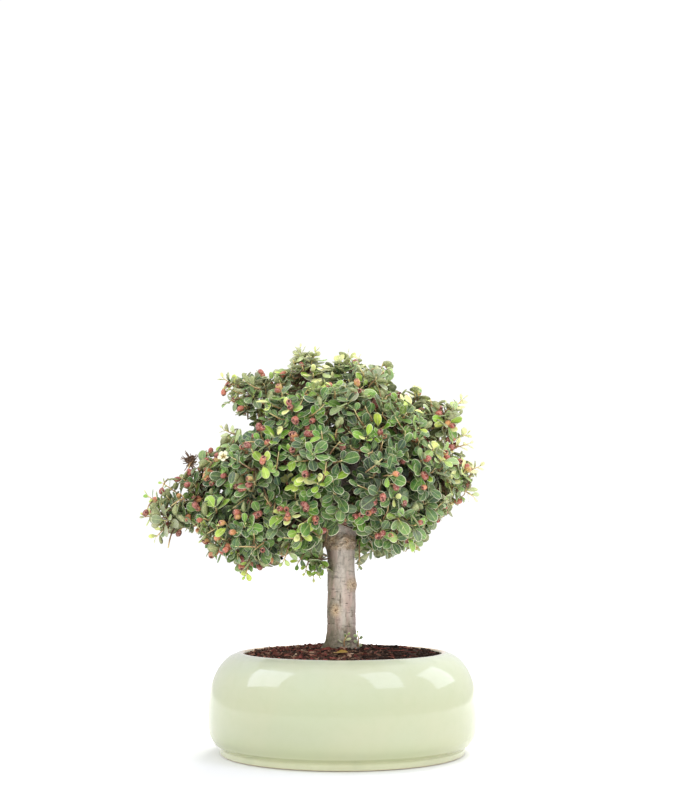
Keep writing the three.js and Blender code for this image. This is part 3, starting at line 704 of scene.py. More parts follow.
def build_bowl():
    parts = [
        BOWL_UNDERSIDE, smooth_line(BOWL_FOOT, 26), smooth_line(BOWL_WALL, 74)[1:],
        smooth_line(BOWL_LIP, 12)[1:], BOWL_INSIDE,
    ]
    profile = np.vstack(parts)
    sides = 240
    turn = round_turns(sides)
    radius, height = profile[:, :1], profile[:, 1:]
    out_of_round = 0.25 * np.sin(2 * turn + 0.7) + 0.15 * np.sin(3 * turn + 2.1)
    swell = out_of_round * np.clip((height - 8) / 25, 0, 1) * np.clip((76 - height) / 20, 0, 1)
    wide = radius + swell
    points = [wide * np.cos(turn), wide * np.sin(turn), np.broadcast_to(height, wide.shape)]
    points = np.stack(points, -1).reshape(-1, 3)
    body = Body()
    body.add(np.vstack([points, (0, 0, 0), (0, 0, INSIDE_FLOOR)]), rings_to_faces(len(profile), sides))
    bowl = body.build("pot_glazed", glaze_material(), "pot")
    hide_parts("pot")


def soil_height(radius, bearing):
    """The part's own soil surface."""
    share = radius / LIP_RADIUS
    dome = SOIL_CROWN - (SOIL_CROWN - SOIL_EDGE) * share**2
    broad = np.sin(bearing * 5 + radius * 0.31) * np.cos(bearing * 2 + radius * 0.27)
    fine = 0.6 * np.sin(bearing * 9 - radius * 0.19)
    return dome + SOIL_LUMP * (broad + fine) * np.sin(math.pi * np.minimum(1, share * 1.02))


def crumbly_height(radius, bearing):
    """The soil surface with its crumbs, which are calmer towards the lip."""
    at = np.stack([radius * np.cos(bearing), radius * np.sin(bearing), 0 * radius], 1)
    calm = np.clip((76.8 - radius) / 5, 0, 1)
    rough = 1.1 * fractal(at / 7, 3, 3) + 0.6 * fractal(at / 2.1, 2, 9)
    return soil_height(radius, bearing) + calm * rough


def build_soil(rng):
    radii = np.concatenate([np.linspace(6, 74, 70), np.linspace(74.8, 77.0, 6)])
    sides = 220
    radius, bearing = np.meshgrid(radii, round_turns(sides), indexing="ij")
    z = crumbly_height(radius.ravel(), bearing.ravel()).reshape(radius.shape)
    top = np.stack([radius * np.cos(bearing), radius * np.sin(bearing), z], -1)[::-1]
    rim = top[0].copy()
    rim[:, 2] = SOIL_RIM
    under = rim * [0.985, 0.985, 1]
    under[:, 2] = SOIL_UNDERSIDE
    ends = [(0, 0, SOIL_UNDERSIDE), (0, 0, z[0].mean())]
    body = Body()
    body.add(np.vstack([under, rim, top.reshape(-1, 3), ends]), rings_to_faces(len(radii) + 2, sides))
    surface = body.build("soil_surface", soil_material(), "soil")
    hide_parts("soil")
    build_litter(rng)


def build_litter(rng):
    """Bark chips, crumbs and fibres that lie on the soil, darker on the right."""
    litter = Body()
    for _ in range(CHIPS):
        radius, bearing = soil_place(rng, 15, 75)
        size = rng.uniform(2.6, 8.5), rng.uniform(1.4, 3.4), rng.uniform(0.6, 1.4)
        shade = right_shade(rng, radius, bearing, 0.3)
        add_chip(litter, rng, radius, bearing, size, shade * rng.beta(1.5, 1.5))
    for _ in range(CRUMBS):
        radius, bearing = soil_place(rng, 14, 76)
        size = np.array([1, 0.8, 0.7]) * rng.uniform(0.9, 2.2)
        shade = right_shade(rng, radius, bearing, 0.45)
        add_chip(litter, rng, radius, bearing, size, shade * rng.beta(1.1, 2.4))
    for _ in range(FIBRES):
        add_fibre(litter, rng, *soil_place(rng, 17, 72))
    litter.build("soil_litter", litter_material(), "soil", smooth=False)


def soil_place(rng, nearest, farthest):
    """A random place on the soil, as radius and bearing."""
    return math.sqrt(rng.uniform(nearest**2, farthest**2)), rng.uniform(0, TURN)


def right_shade(rng, radius, bearing, darkest):
    """How much darker litter is at a place: mostly not at all on the left, and darkest on the right."""
    return darkest if radius * math.cos(bearing) > rng.normal(6, 20) else 1.0


def add_chip(body, rng, radius, bearing, size, tint):
    """A flat chip with seven uneven corners, of a length, width and thickness."""
    long, wide, thick = size
    corners = 7
    turn = TURN * (np.arange(corners) + rng.uniform(-0.3, 0.3, corners)) / corners
    reach = rng.uniform(0.75, 1.1, corners)
    flat = np.stack([np.cos(turn) * reach * long / 2, np.sin(turn) * reach * wide / 2], 1)
    top = np.column_stack([flat * 0.86, thick / 2 + rng.uniform(-0.15, 0.15, corners) * thick])
    low = np.column_stack([flat, np.full(corners, -thick / 2)])
    points = np.vstack([low, top, [(0, 0, -thick / 2), (0, 0, thick * 0.6)]])
    yaw, tilt, lean = rng.uniform(0, TURN), rng.normal(0, 0.22), rng.normal(0, 0.22)
    turned = (
        Matrix.Rotation(yaw, 3, "Z") @ Matrix.Rotation(tilt, 3, "Y") @ Matrix.Rotation(lean, 3, "X")
    )
    radius = min(radius, 76.2 - long / 2)
    z = crumbly_height(np.array([radius]), np.array([bearing]))[0]
    at = np.array([radius * math.cos(bearing), radius * math.sin(bearing), z + 0.25 * thick])
    body.add(points @ np.array(turned).T + at, rings_to_faces(2, corners), {"tint": tint})


def add_fibre(body, rng, radius, bearing):
    """A thin bowed fibre that lies on the soil, a little arched."""
    long, heading, bow = rng.uniform(6, 15), rng.uniform(0, TURN), rng.uniform(-0.9, 0.9)
    share = np.linspace(-0.5, 0.5, 7)
    turn = heading + bow * share
    x = radius * math.cos(bearing) + long * share * np.cos(turn)
    y = radius * math.sin(bearing) + long * share * np.sin(turn)
    shrink = np.minimum(1, 74.5 / np.hypot(x, y))
    x, y = x * shrink, y * shrink
    arch = rng.uniform(0, 1.1) * (1 - 4 * share**2)
    z = crumbly_height(np.hypot(x, y), np.arctan2(y, x)) + 0.5 + arch
    radii = 0.16 + 0.18 * (1 - 2 * np.abs(share))
    body.add(*tube(np.stack([x, y, z], 1), radii, 4), {"tint": rng.uniform(0.45, 0.88)})


# Trunk, limbs and twigs


def trunk_shape(bearing, height):
    """Radius, and how much scar, pit and moss show, at bearings and heights on the trunk."""
    table = smooth_line(np.column_stack([TRUNK_LINE, TRUNK_RADIUS]), 260)
    plain = np.interp(height, table[:, 2], table[:, 3])
    radius = plain.copy()
    foot = np.clip((94 - height) / 15, 0, 1.25)
    for at, stand, narrow in ROOTS:
        turned = np.cos(bearing - math.radians(at))
        radius += stand * foot**2.6 * np.clip(turned, 0, 1) ** narrow
    scar, pit = np.zeros_like(radius), np.zeros_like(radius)
    for at, knot_height, spread, stand in KNOTS:
        turned = bearing - math.radians(at)
        across = np.arctan2(np.sin(turned), np.cos(turned)) * plain
        away = np.sqrt(across**2 + (height - knot_height) ** 2) / spread
        radius += stand * np.exp(-2 * away**2)
        radius -= 0.7 * stand * np.exp(-18 * away**2)
        scar = np.maximum(scar, np.clip(1.25 - 1.5 * away, 0, 1))
        pit = np.maximum(pit, np.clip(1.0 - 7 * away, 0, 0.8))
    at = np.stack([np.cos(bearing) * plain, np.sin(bearing) * plain, height], 1)
    front = np.clip(0.5 - 1.5 * np.sin(bearing + 0.25), 0, 1)
    burl = np.exp(-(((height - BURL_HEIGHT) / 5.6) ** 4)) * front
    ridges = np.abs(fractal(at / 3.2, 3, 21))
    grooves = np.clip(fractal(at / 1.7, 2, 23), 0, 1)
    radius += burl * (0.7 + 2.4 * ridges - 1.5 * grooves)
    scar = np.maximum(scar, burl * np.clip(0.8 + 0.9 * fractal(at / 3.5, 2, 22), 0, 1))
    radius += 0.55 * fractal(at / [7, 7, 24], 3, 5)
    radius += 0.34 * fractal(at / [1.5, 1.5, 8], 3, 6)
    bark_rings = lumps(at / [7, 7, 1.9], 8)
    radius -= 0.6 * np.clip(bark_rings - 0.3, 0, 1)
    radius += 0.9 * scar * fractal(at / 1.9, 3, 12)
    moss = np.clip((100 - height) / 20, 0, 1)
    return radius, scar, pit, moss


def add_trunk(wood):
    sides = 160
    heights = np.concatenate([np.linspace(54, 74, 7), np.linspace(74.4, 180.6, 246)])
    grid = np.meshgrid(heights, round_turns(sides), indexing="ij")
    height, bearing = (values.ravel() for values in grid)
    radius, *looks = trunk_shape(bearing, height)
    middle = np.interp(height, TRUNK_LINE[:, 2], TRUNK_LINE[:, 0])
    points = [middle + radius * np.cos(bearing), radius * np.sin(bearing), height]
    points = np.vstack([np.stack(points, 1), (0, 0, 54), (1, 0, 182)])
    values = {key: np.append(look, [0, 0]) for key, look in zip(("scar", "pit", "moss"), looks)}
    wood.add(points, rings_to_faces(len(heights), sides), {**values, "twig": 0})


def add_limb(wood, number, line, first, last):
    """A limb that wanders a little, thins from one radius to the other and has a collar at its foot."""
    sides = 22
    path = smooth_line(line, 46)
    wander = [fractal(path[1:-1] / 11, 2, 30 + number + k) for k in range(3)]
    path[1:-1] += 0.5 * np.stack(wander, 1)
    share = np.linspace(0, 1, len(path))
    collar = 2.2 * np.exp(-share * 14)
    points, faces = tube(path, first + (last - first) * share + collar, sides)
    wall = points[:-2]
    out = unit(wall - np.repeat(path, sides, 0))
    wall += out * (0.35 * fractal(wall / 3, 3, 40 + number))[:, None]
    wood.add(points, faces, {"scar": 0, "pit": 0, "moss": 0, "twig": 0.15})


def add_twig(wood, centre, places):
    """A bowed twig from the best placed limb point to a spray's middle."""
    drop = np.maximum(0, places[:, 2] - centre[2] - 8)
    cost = np.linalg.norm(places - centre, axis=1) + 1.6 * drop
    start = places[np.argmin(cost)]
    bend = (start + centre) / 2
    bend[2] += 0.12 * np.linalg.norm(start - centre) * np.sign(start[2] - centre[2])
    line = smooth_line([start, bend, centre], 9)
    sides = 8
    points, faces = tube(line, np.linspace(2.3, 1.2, len(line)), sides)
    rough = 1 + 0.1 * lumps(points / 2, 50)[:, None]
    middle = line[np.minimum(np.arange(len(points)) // sides, len(line) - 1)]
    points = middle + (points - middle) * rough
    wood.add(points, faces, {"scar": 0, "pit": 0, "moss": 0, "twig": 0.75})


def build_wood():
    wood = Body()
    add_trunk(wood)
    for number, limb in enumerate(LIMBS):
        add_limb(wood, number, *limb)
    places = np.vstack([smooth_line(line, 12)[2:] for line, _, _ in LIMBS])
    for centre in CENTRES:
        add_twig(wood, centre, places)
    made = wood.build("wood", bark_material(), "bark")
    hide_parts("trunk_and_branches")


# Leaves


def leaf_shape(stations, top_ribs, under_ribs):
    """Points of a closed blade as (share of length, share of half width, layer), faces, underside."""
    u, w = np.array(stations).T
    n = len(u)
    inner_u = 0.03 + 0.93 * u
    inner_w = np.maximum(w - LEAF_MARGIN, w * 0.5)
    points = [(PETIOLE_END, 0, 0)]
    points += [(a, -b, 0) for a, b in zip(u, w)] + [(1, 0, 0)]
    points += [(a, b, 0) for a, b in zip(u[::-1], w[::-1])]
    size = len(points)
    points += [(PETIOLE_END + 0.05, 0, 1)]
    points += [(a, -b, 1) for a, b in zip(inner_u, inner_w)] + [(0.955, 0, 1)]
    points += [(a, b, 1) for a, b in zip(inner_u[::-1], inner_w[::-1])]
    points += [(a, 0, 1) for a in top_ribs] + [(a, 0, 2) for a in under_ribs]
    faces = []
    for k in range(size):
        following = (k + 1) % size
        faces += [(k, following, size + following), (k, size + following, size + k)]

    def fill(first, ribs, flip):
        """Both halves between an outline that starts at a point and the ribs along its middle."""
        base, tip = first, first + n + 1
        for side, turned in ((1, flip), (-1, not flip)):
            edge = [base] + [base + (k if side > 0 else size - k) for k in range(1, n + 1)] + [tip]
            middle = [base] + ribs + [tip]
            i = j = 0
            while i < len(edge) - 1 or j < len(middle) - 1:
                if j == len(middle) - 1 or (
                    i < len(edge) - 1 and points[edge[i + 1]][0] <= points[middle[j + 1]][0]
                ):
                    face = (edge[i], edge[i + 1], middle[j])
                    i += 1
                else:
                    face = (edge[i], middle[j + 1], middle[j])
                    j += 1
                if len(set(face)) == 3:
                    faces.append(face[::-1] if turned else face)

    first_rib = 2 * size
    fill(size, list(range(first_rib, first_rib + len(top_ribs))), False)
    top_count = len(faces)
    fill(0, list(range(first_rib + len(top_ribs), len(points))), True)
    under = np.zeros(len(faces))
    under[top_count:] = 1
    return np.array(points, float), np.array(faces), under


LEAF = leaf_shape(LEAF_STATIONS, [0.2, 0.5, 0.78], [0.3, 0.7])
DEEP_LEAF = leaf_shape(DEEP_LEAF_STATIONS, [0.5], [0.5])
# Leaves with more painted shade than this, so deeper in the crown, have the simpler shape.
DEEP_PAINTED_SHADE = 0.35
# How far the blade's rim, upper and lower side stand off its middle surface.
LEAF_LAYERS = np.array([-0.02, 0.14, -0.24])


def add_leaves(body, rows, painted_depth_shade=0.0, pale=0.0, free=False):
    """Adds many leaves at once.

    The rows hold, for each leaf: root, direction, the way its upper side faces, length, width, cup,
    bend, tint and cream. Unless they are free, leaves that would leave the crown's outline are left
    out.
    """
    kept = free | fits_crown(rows[0] + unit(rows[1]) * rows[3][:, None], 0.6)
    if not kept.any():
        return
    roots, ahead, face, length, width, cup, bend, tint, cream = (row[kept] for row in rows)
    pale = np.broadcast_to(pale, len(kept))[kept]
    ahead = unit(ahead)
    face = unit(face - ahead * np.sum(face * ahead, 1)[:, None])
    side = np.cross(face, ahead)
    shape, shape_faces, shape_under = DEEP_LEAF if painted_depth_shade > DEEP_PAINTED_SHADE else LEAF
    u, v, layer = shape.T
    half = width / 2
    lift = (cup * half)[:, None] * v**2 - (bend * length)[:, None] * np.clip(u, 0, 1) ** 2
    fold = 0.10 * half[:, None] * np.abs(v)
    lift = lift + fold + LEAF_LAYERS[layer.astype(int)]
    points = (
        roots[:, None]
        + ahead[:, None] * (length[:, None] * (u - PETIOLE_END))[..., None]
        + side[:, None] * (half[:, None] * v)[..., None]
        + face[:, None] * lift[..., None]
    )
    count, size = len(roots), len(shape)
    faces = shape_faces[None] + (np.arange(count) * size)[:, None, None]
    values = {
        "edge": np.tile((layer == 0).astype(float), count),
        "tint": np.repeat(tint, size),
        "cream": np.repeat(cream, size),
        "painted_depth_shade": painted_depth_shade,
        "pale": np.repeat(pale, size),
    }
    uv = np.stack([np.clip(u, 0, 1), 0.5 + 0.5 * v], 1)
    body.add(
        points.reshape(-1, 3), faces.reshape(-1, 3), values, {"under": np.tile(shape_under, count)},
        np.tile(uv, (count, 1)),
    )


# The crown's skin and outline


def crown_depth(points):
    """How far inside the crown's skin points lie; the skin rounds off the valleys between sprays."""
    away = np.linalg.norm(points[:, None] - CENTRES[None], axis=2)
    inside = (REACHES[None] - away) / VALLEY_FILL
    most = inside.max(1)
    return VALLEY_FILL * (most + np.log(np.exp(inside - most[:, None]).sum(1)))


def seen_flat(points):
    """Where points appear, as x and z on the plane y = 0, from the camera."""
    eye = np.array(CAMERA_AT) / MM
    seen = eye + (points - eye) * (-eye[1] / (points[:, 1] - eye[1]))[:, None]
    return seen[:, [0, 2]]


def outline_gap(points):
    """How far inside the crown's outline points appear from the front."""
    flat = seen_flat(points)[:, None]
    start, end = CROWN_OUTLINE, np.roll(CROWN_OUTLINE, -1, 0)
    edge = end - start
    away = flat - start
    share = np.clip((away * edge).sum(2) / (edge**2).sum(1), 0, 1)
    gap = np.linalg.norm(away - share[..., None] * edge, axis=2).min(1)
    crosses = (start[:, 1] > flat[..., 1]) != (end[:, 1] > flat[..., 1])
    rise = np.where(edge[:, 1] == 0, 1, edge[:, 1])
    meets = start[:, 0] + away[..., 1] / rise * edge[:, 0]
    inside = (crosses & (flat[..., 0] < meets)).sum(1) % 2 == 1
    return np.where(inside, gap, -gap)


def in_hollow(points):
    """Whether points are in the front part of the crown where it has one of its dark hollows."""
    away = np.linalg.norm(seen_flat(points)[:, None] - HOLLOWS[:, :2], axis=2)
    in_front = points[:, 1] < -4
    return in_front & (away < HOLLOWS[:, 2] + 1.5).any(1) & (crown_depth(points) < 20)


def fits_crown(points, slack):
    """Whether leaves or fruit may end at points: inside the outline, and not before a bare place."""
    x, z = seen_flat(points).T
    fits = outline_gap(points) > -slack
    for middle, half, low, high, front in BARE_PLACES:
        fits &= (points[:, 1] > -front) | (np.abs(x - middle) > half) | (z < low) | (z > high)
    return fits


def own_inset(points, number):
    """How far inside a spray's own space points lie."""
    power = ((points[:, None] - CENTRES[None]) ** 2).sum(2) - REACHES**2
    apart = np.linalg.norm(CENTRES - CENTRES[number], axis=1)
    apart[number] = 1
    inset = (power - power[:, number : number + 1]) / (2 * apart)
    inset[:, number] = np.inf
    return inset.min(1)


def near_tuft(point):
    """How close to a pale tuft a point appears from the front, from 0 to 1."""
    away = np.linalg.norm(PALE_TUFTS - seen_flat(point[None])[0], axis=1).min()
    return math.exp(-((away / 8) ** 2))


def paleness(point, count, rng):
    """How pale the leaves of a shoot are: pale young leaves round the pale tufts, and painted light
    along the outline, on top and at the right.
    """
    tuft = near_tuft(point)
    rim = np.clip(1 - outline_gap(point[None])[0] / 11, 0, 1)
    far = float(np.clip((point[2] - 262) / 30, 0, 1) + np.clip((point[0] - 55) / 30, 0, 1))
    low = float(np.clip((205 - point[2]) / 25, 0, 1))
    # The outline (rim) and the top and right (far) add painted light; the tufts alone are pale young
    # leaves.
    share = 0.28 * tuft * rim + 0.11 * tuft + 0.08 * rim + 0.1 * min(far, 1) + 0.02 * low + 0.03
    return np.clip(share * rng.uniform(0.1, 2.3) * rng.uniform(0.5, 1.2, count), 0, 0.48)


def painted_sunlight(point):
    """How much paler green the leaves are painted at a point, as painted light: most on top and at the
    far right.
    """
    high = np.clip((point[2] - 255) / 45, 0, 1)
    return max(0.26 * near_tuft(point), 0.18 * high, 0.2 * np.clip((point[0] - 60) / 30, 0, 1))


def fruiting(tip):
    """Share of the short shoots that bear fruit: most on the long bough, fewest by the trunk."""
    if tip[2] < 166 and abs(tip[0]) < 36:
        return 0.1
    share = float(np.interp(tip[0], [-120, -60, -20, 60], [0.95, 0.74, 0.5, 0.48]))
    return share * (0.7 if tip[2] > 282 else 1)


# Shoots and fruit


def spray_tips(number, rng):
    """Where a spray's shoots end: most on its outer skin, some deeper, each with its depth."""
    centre, reach = CENTRES[number], REACHES[number]
    tips = []
    for inset, spacing in ((TIP_INSET, SHOOT_SPACING), (0.45 * reach, SHOOT_SPACING * 1.15)):
        count = max(6, int(2 * TURN * (reach - inset) ** 2 / spacing**2))
        out = sphere_directions(count, rng.uniform(0, TURN))
        away = np.full(count, reach - inset)
        if inset == TIP_INSET:
            for _ in range(3):
                away += np.clip(crown_depth(centre + out * away[:, None]) - TIP_INSET, 0, 4)
            away = np.minimum(away, reach - TIP_INSET + VALLEY_REACH)
        tips.append(centre + out * away[:, None])
    tips = np.vstack(tips) + rng.normal(0, 1.6, (sum(map(len, tips)), 3))
    depth = crown_depth(tips) - TIP_INSET
    chance = np.interp(depth, [0, 3, 9, 18, 30], [1, 1, 0.6, 0.26, 0.1])
    keep = (own_inset(tips, number) > 0) & (rng.uniform(0, 1, len(tips)) < chance)
    keep &= fits_crown(tips, -1.0) & ~in_hollow(tips)
    return tips[keep], depth[keep]


def shoot_axes(tips, centre, rng):
    """The direction of each tip's shoot, and the way out of the crown there."""
    out = unit(tips - centre)
    outward = unit(tips - CROWN_MIDDLE)
    axis = 0.7 * out + 0.45 * outward + 0.3 * UP + rng.normal(0, 0.36, tips.shape)
    axis[:, 2] += np.where(out[:, 2] < -0.3, 0.35, 0)
    return unit(axis), outward


def add_forks(shoots, centre, tips, rng):
    """Forks a spray's stem in up to five, and gives the fork that each tip's shoot grows from."""
    if not len(tips):
        return []
    most = 5
    ways = unit(rng.normal(0, 1, (most, 3)))
    out = unit(tips - centre)
    for _ in range(4):
        nearest = np.argmax(out @ ways.T, 1)
        ways = np.array([
            unit(out[nearest == k].sum(0)) if (nearest == k).any() else ways[k] for k in range(most)
        ])
    nearest = np.argmax(out @ ways.T, 1)
    forks = np.zeros((most, 3))
    for k in np.unique(nearest):
        reach = np.linalg.norm(tips[nearest == k] - centre, axis=1).mean()
        forks[k] = centre + ways[k] * 0.42 * reach
        middle = (centre + forks[k]) / 2 + rng.normal(0, 0.6, 3)
        line = smooth_line([centre, middle, forks[k]], 5)
        shoots.add(*tube(line, np.linspace(1.1, 0.8, len(line)), 6), {"age": 0.1})
    return forks[nearest]


def shoot_line(fork, end, axis, straight, rng):
    """A shoot's line from its fork; the last stretch runs along its axis, a little bowed."""
    before = end - axis * straight
    bend = (fork + before) / 2 + rng.normal(0, 0.9, 3)
    half = (before + end) / 2 + rng.normal(0, 0.04, 3) * straight
    return smooth_line([fork, bend, before, half, end], 7)


def stays_inside(line, slack):
    """Whether the outer part of a shoot's line stays inside the crown."""
    return fits_crown(line[len(line) // 3:], slack).all()


def add_stem(shoots, line, last, sides=5, oldest=0.2):
    """A shoot's stem, which thins to its last radius and is older and browner at its foot."""
    age = np.append(np.repeat(np.linspace(oldest, 1, len(line)), sides), [oldest, 1])
    shoots.add(*tube(line, np.linspace(0.75, last, len(line)), sides), {"age": age})


def add_leafy_shoot(body, shoots, line, outward, leafy, mood, size, rng, pale=0.0, free=False):
    """A longer shoot whose leaves stand one after another along its last stretch."""
    add_stem(shoots, line, 0.36)
    count = int(round(leafy / 2.3))
    fine = smooth_line(line, 40)
    along = run_along(fine)
    at = along[-1] - leafy * np.linspace(1, 0.02, count) ** 1.1
    roots = points_at(fine, at, along)
    axis = unit(points_at(unit(np.gradient(fine, axis=0)), at, along))
    step = np.linspace(0, 1, count)
    first = unit(np.cross(axis, outward + rng.normal(0, 0.25, 3)))
    radial = spokes(first, np.cross(axis, first), np.pi * np.arange(count) + rng.normal(0, 0.55, count))
    tilt = np.radians(np.interp(step, [0, 0.7, 1], [68, 52, 22]) + rng.normal(0, 9, count))
    ahead = spokes(axis, radial, tilt)
    face = 0.8 * outward + 0.35 * UP + 0.3 * axis + rng.normal(0, 0.38, roots.shape)
    length = size * np.interp(step, [0, 0.25, 0.7, 1], [8.6, 10.2, 8.6, 5.2])
    length = length * rng.uniform(0.85, 1.12, count)
    tint = 0.32 + mood + pale + painted_sunlight(roots[-1]) + rng.normal(0, 0.12, count)
    tint = np.clip(tint + (0.14 + 0.4 * pale) * step**2, 0, 1)
    rows = (
        roots, ahead, face, length, length * rng.uniform(0.55, 0.72, count),
        rng.uniform(-0.25, 0.3, count), rng.uniform(-0.05, 0.22, count), tint,
        rng.uniform(0.4, 0.95, count),
    )
    add_leaves(body, rows, 0.0, paleness(roots[-1], count, rng), free)


def add_rosette(body, tip, axis, outward, deep, mood, fruit, rng):
    """Leaves that open round a shoot's tip, smaller and more upright towards it."""
    count = int(rng.integers(5, 8)) if deep < 4 else int(rng.integers(4, 6))
    if fruit:
        count -= 1
    step = np.arange(count)
    turn = step * 2.4 + rng.uniform(0, TURN) + rng.normal(0, 0.22, count)
    tilt = np.radians(np.interp(step, [0, 3, 7], [84, 62, 32]) + rng.normal(0, 10, count))
    first = unit(np.cross(axis, [0.3, 0.5, 0.81]))
    radial = spokes(first, np.cross(axis, first), turn)
    ahead = spokes(axis, radial, tilt)
    face = np.sin(tilt)[:, None] * axis - np.cos(tilt)[:, None] * radial
    face = unit(face) + 0.5 * outward + 0.25 * UP + rng.normal(0, 0.36, face.shape)
    length = np.interp(step, [0, 2, 4, 7], [11.4, 11.2, 8.8, 5.2]) * rng.uniform(0.74, 1.24, count)
    length = np.maximum(4, length)
    back = np.interp(step, [0, 6], [5.5, 0])
    roots = tip - axis * back[:, None] + radial * 0.4
    kind = rng.uniform()
    tint = 0.26 + mood + painted_sunlight(tip) + rng.normal(0, 0.14, count) + 0.02 * step
    if kind < 0.16:
        tint += 0.22 + 0.07 * step
    elif kind < 0.42:
        tint += 0.14
    # Painted shade: deeper rosettes get a darker green.
    tint = np.clip(tint - 0.012 * np.clip(deep, 0, 12), 0, 1)
    rows = (
        roots, ahead, face, length, length * rng.uniform(0.58, 0.76, count),
        rng.uniform(-0.3, 0.35, count), rng.uniform(-0.08, 0.22, count), tint,
        rng.uniform(0.4, 0.95, count),
    )
    # Painted shade, darker the deeper the rosette lies in the crown.
    painted_depth_shade = np.interp(deep, [1.5, 5, 11], [0, 0.45, 0.85])
    add_leaves(body, rows, painted_depth_shade, paleness(tip, count, rng))


def add_shoot(body, shoots, berries, fork, tip, deep, axis, outward, mood, rng):
    """The shoot that ends at a tip: long and leafy, or short with a rosette and perhaps fruit."""
    if deep < 5 and rng.uniform() < LONG_SHOOTS:
        side = unit(np.cross(outward, unit(rng.normal(0, 1, 3))))
        axis = unit(0.5 * outward + 0.75 * side + 0.35 * UP)
        end = tip + axis * rng.uniform(1, 4.5)
        leafy = float(rng.uniform(14, 20))
        line = shoot_line(fork, end, axis, leafy, rng)
        if stays_inside(line, -1.5):
            add_leafy_shoot(body, shoots, line, outward, leafy, mood, rng.uniform(0.75, 1), rng)
            return
    line = shoot_line(fork, tip, axis, SHORT_SHOOT, rng)
    if not stays_inside(line, 0):
        return
    add_stem(shoots, line, 0.42, sides=4)
    fruit = deep < 3 and rng.uniform() < fruiting(tip)
    add_rosette(body, tip, axis, outward, deep, mood, fruit, rng)
    if fruit:
        add_fruit(berries, shoots, tip, axis, outward, rng)


def add_fruit(berries, shoots, tip, axis, outward, rng):
    """One to three berries on short stalks in a rosette's middle."""
    for _ in range(1 + int(rng.uniform() < 0.42) + int(rng.uniform() < 0.14)):
        lean = unit(0.5 * outward + 0.3 * axis + rng.normal(0, 0.55, 3) - 0.35 * UP)
        sideways = unit(rng.normal(0, 1, 3))
        base = tip + 0.2 * axis + 1.9 * sideways
        size = rng.uniform(0.74, 0.98)
        if not fits_crown((base + 6 * size * lean)[None], 1.0)[0]:
            continue
        add_berry(berries, base, lean, size, rng)
        line = smooth_line([tip - 2 * axis, (tip + base) / 2, base + 0.3 * lean], 4)
        shoots.add(*tube(line, 0.4, 5), {"age": 0.75})


def add_berry(body, base, lean, size, rng):
    """A berry with a pitted end, and the calyx lobes that close over the pit."""
    side = unit(np.cross(lean, [0.41, 0.2, 0.89]))
    other = np.cross(lean, side)
    ring = spokes(side, other, round_turns(BERRY_SIDES))
    radius, along = BERRY_PROFILE.T * size
    points = base + radius[:, None, None] * ring + (along[:, None] * lean)[:, None]
    points = np.vstack([points.reshape(-1, 3), base, base + lean * 5.0 * size])
    tint = float(rng.beta(1.5, 2.1)) if rng.uniform() < 0.74 else rng.uniform(0.62, 1.0)
    step = np.repeat(np.arange(len(BERRY_PROFILE)), BERRY_SIDES)
    values = {
        "tint": tint,
        "calyx": np.append(np.clip(step - 4, 0, 1), [0, 1]),
        "pit": np.append(np.where(step >= 7, 1.0, 0), [0, 1]),
    }
    body.add(points, rings_to_faces(len(BERRY_PROFILE), BERRY_SIDES), values)
    for turn in round_turns(BERRY_LOBES) + 0.3:
        out = math.cos(turn) * side + math.sin(turn) * other
        across = 0.95 * size * np.cross(lean, out)
        root = base + size * (1.75 * out + 5.7 * lean)
        tip = base + size * (0.6 * out + 7.2 * lean)
        inner = base + size * (1.1 * out + 5.8 * lean)
        lobe = np.array([root + across, root - across, tip, inner])
        faces = [(0, 1, 2), (1, 3, 2), (3, 0, 2), (0, 3, 1)]
        body.add(lobe, faces, {"tint": tint, "calyx": 0.8, "pit": 0})


def build_sprays():
    leaf_skin = leaf_material()
    shoots, berries = Body(), Body()
    for number, centre in enumerate(CENTRES):
        body = Body()
        rng = np.random.default_rng([71, number])
        tips, depth = spray_tips(number, rng)
        axes, outwards = shoot_axes(tips, centre, rng)
        forks = add_forks(shoots, centre, tips, rng)
        mood = rng.normal(0, 0.06)
        for fork, tip, deep, axis, outward in zip(forks, tips, depth, axes, outwards):
            add_shoot(body, shoots, berries, fork, tip, deep, axis, outward, mood, rng)
        name = f"spray_{number + 1:02d}"
        made = body.build(name + "_leaves", leaf_skin, "foliage")
        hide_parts(name)
    loose = Body()
    rng = np.random.default_rng(72)
    add_sprigs(loose, shoots, rng)
    add_lone_tips(loose, shoots, berries, rng)
    add_hanging_fruit(berries, shoots, rng)
    add_blossom(loose, shoots, rng)
    add_dry_tuft(shoots, rng)
    add_stem(shoots, smooth_line(DEAD_TWIG, 6), 0.5, oldest=0.0)
    loose.build("single_shoots", leaf_skin, "foliage")
    shoots.build("shoots", shoot_material(), "bark")
    berries.build("berries", berry_material(), "berry")


# Single shoots, fruit, a flower and a dried tuft where the photograph has them


def add_sprigs(loose, shoots, rng):
    """Single shoots that stand out of the crown or grow from the trunk."""
    for start, end, pale, size in SPRIGS:
        start, end = np.array(start, float), np.array(end, float)
        axis = unit(end - start)
        outward = unit(unit(end - CROWN_MIDDLE) + [0, -0.7, 0])
        bow = np.cross(axis, outward) * rng.normal(0, 1.2)
        line = smooth_line([start - axis * 4, (start + end) / 2 + bow, end], 8)
        leafy = 0.9 * math.dist(start, end)
        add_leafy_shoot(loose, shoots, line, outward, leafy, 0, size, rng, pale, free=True)


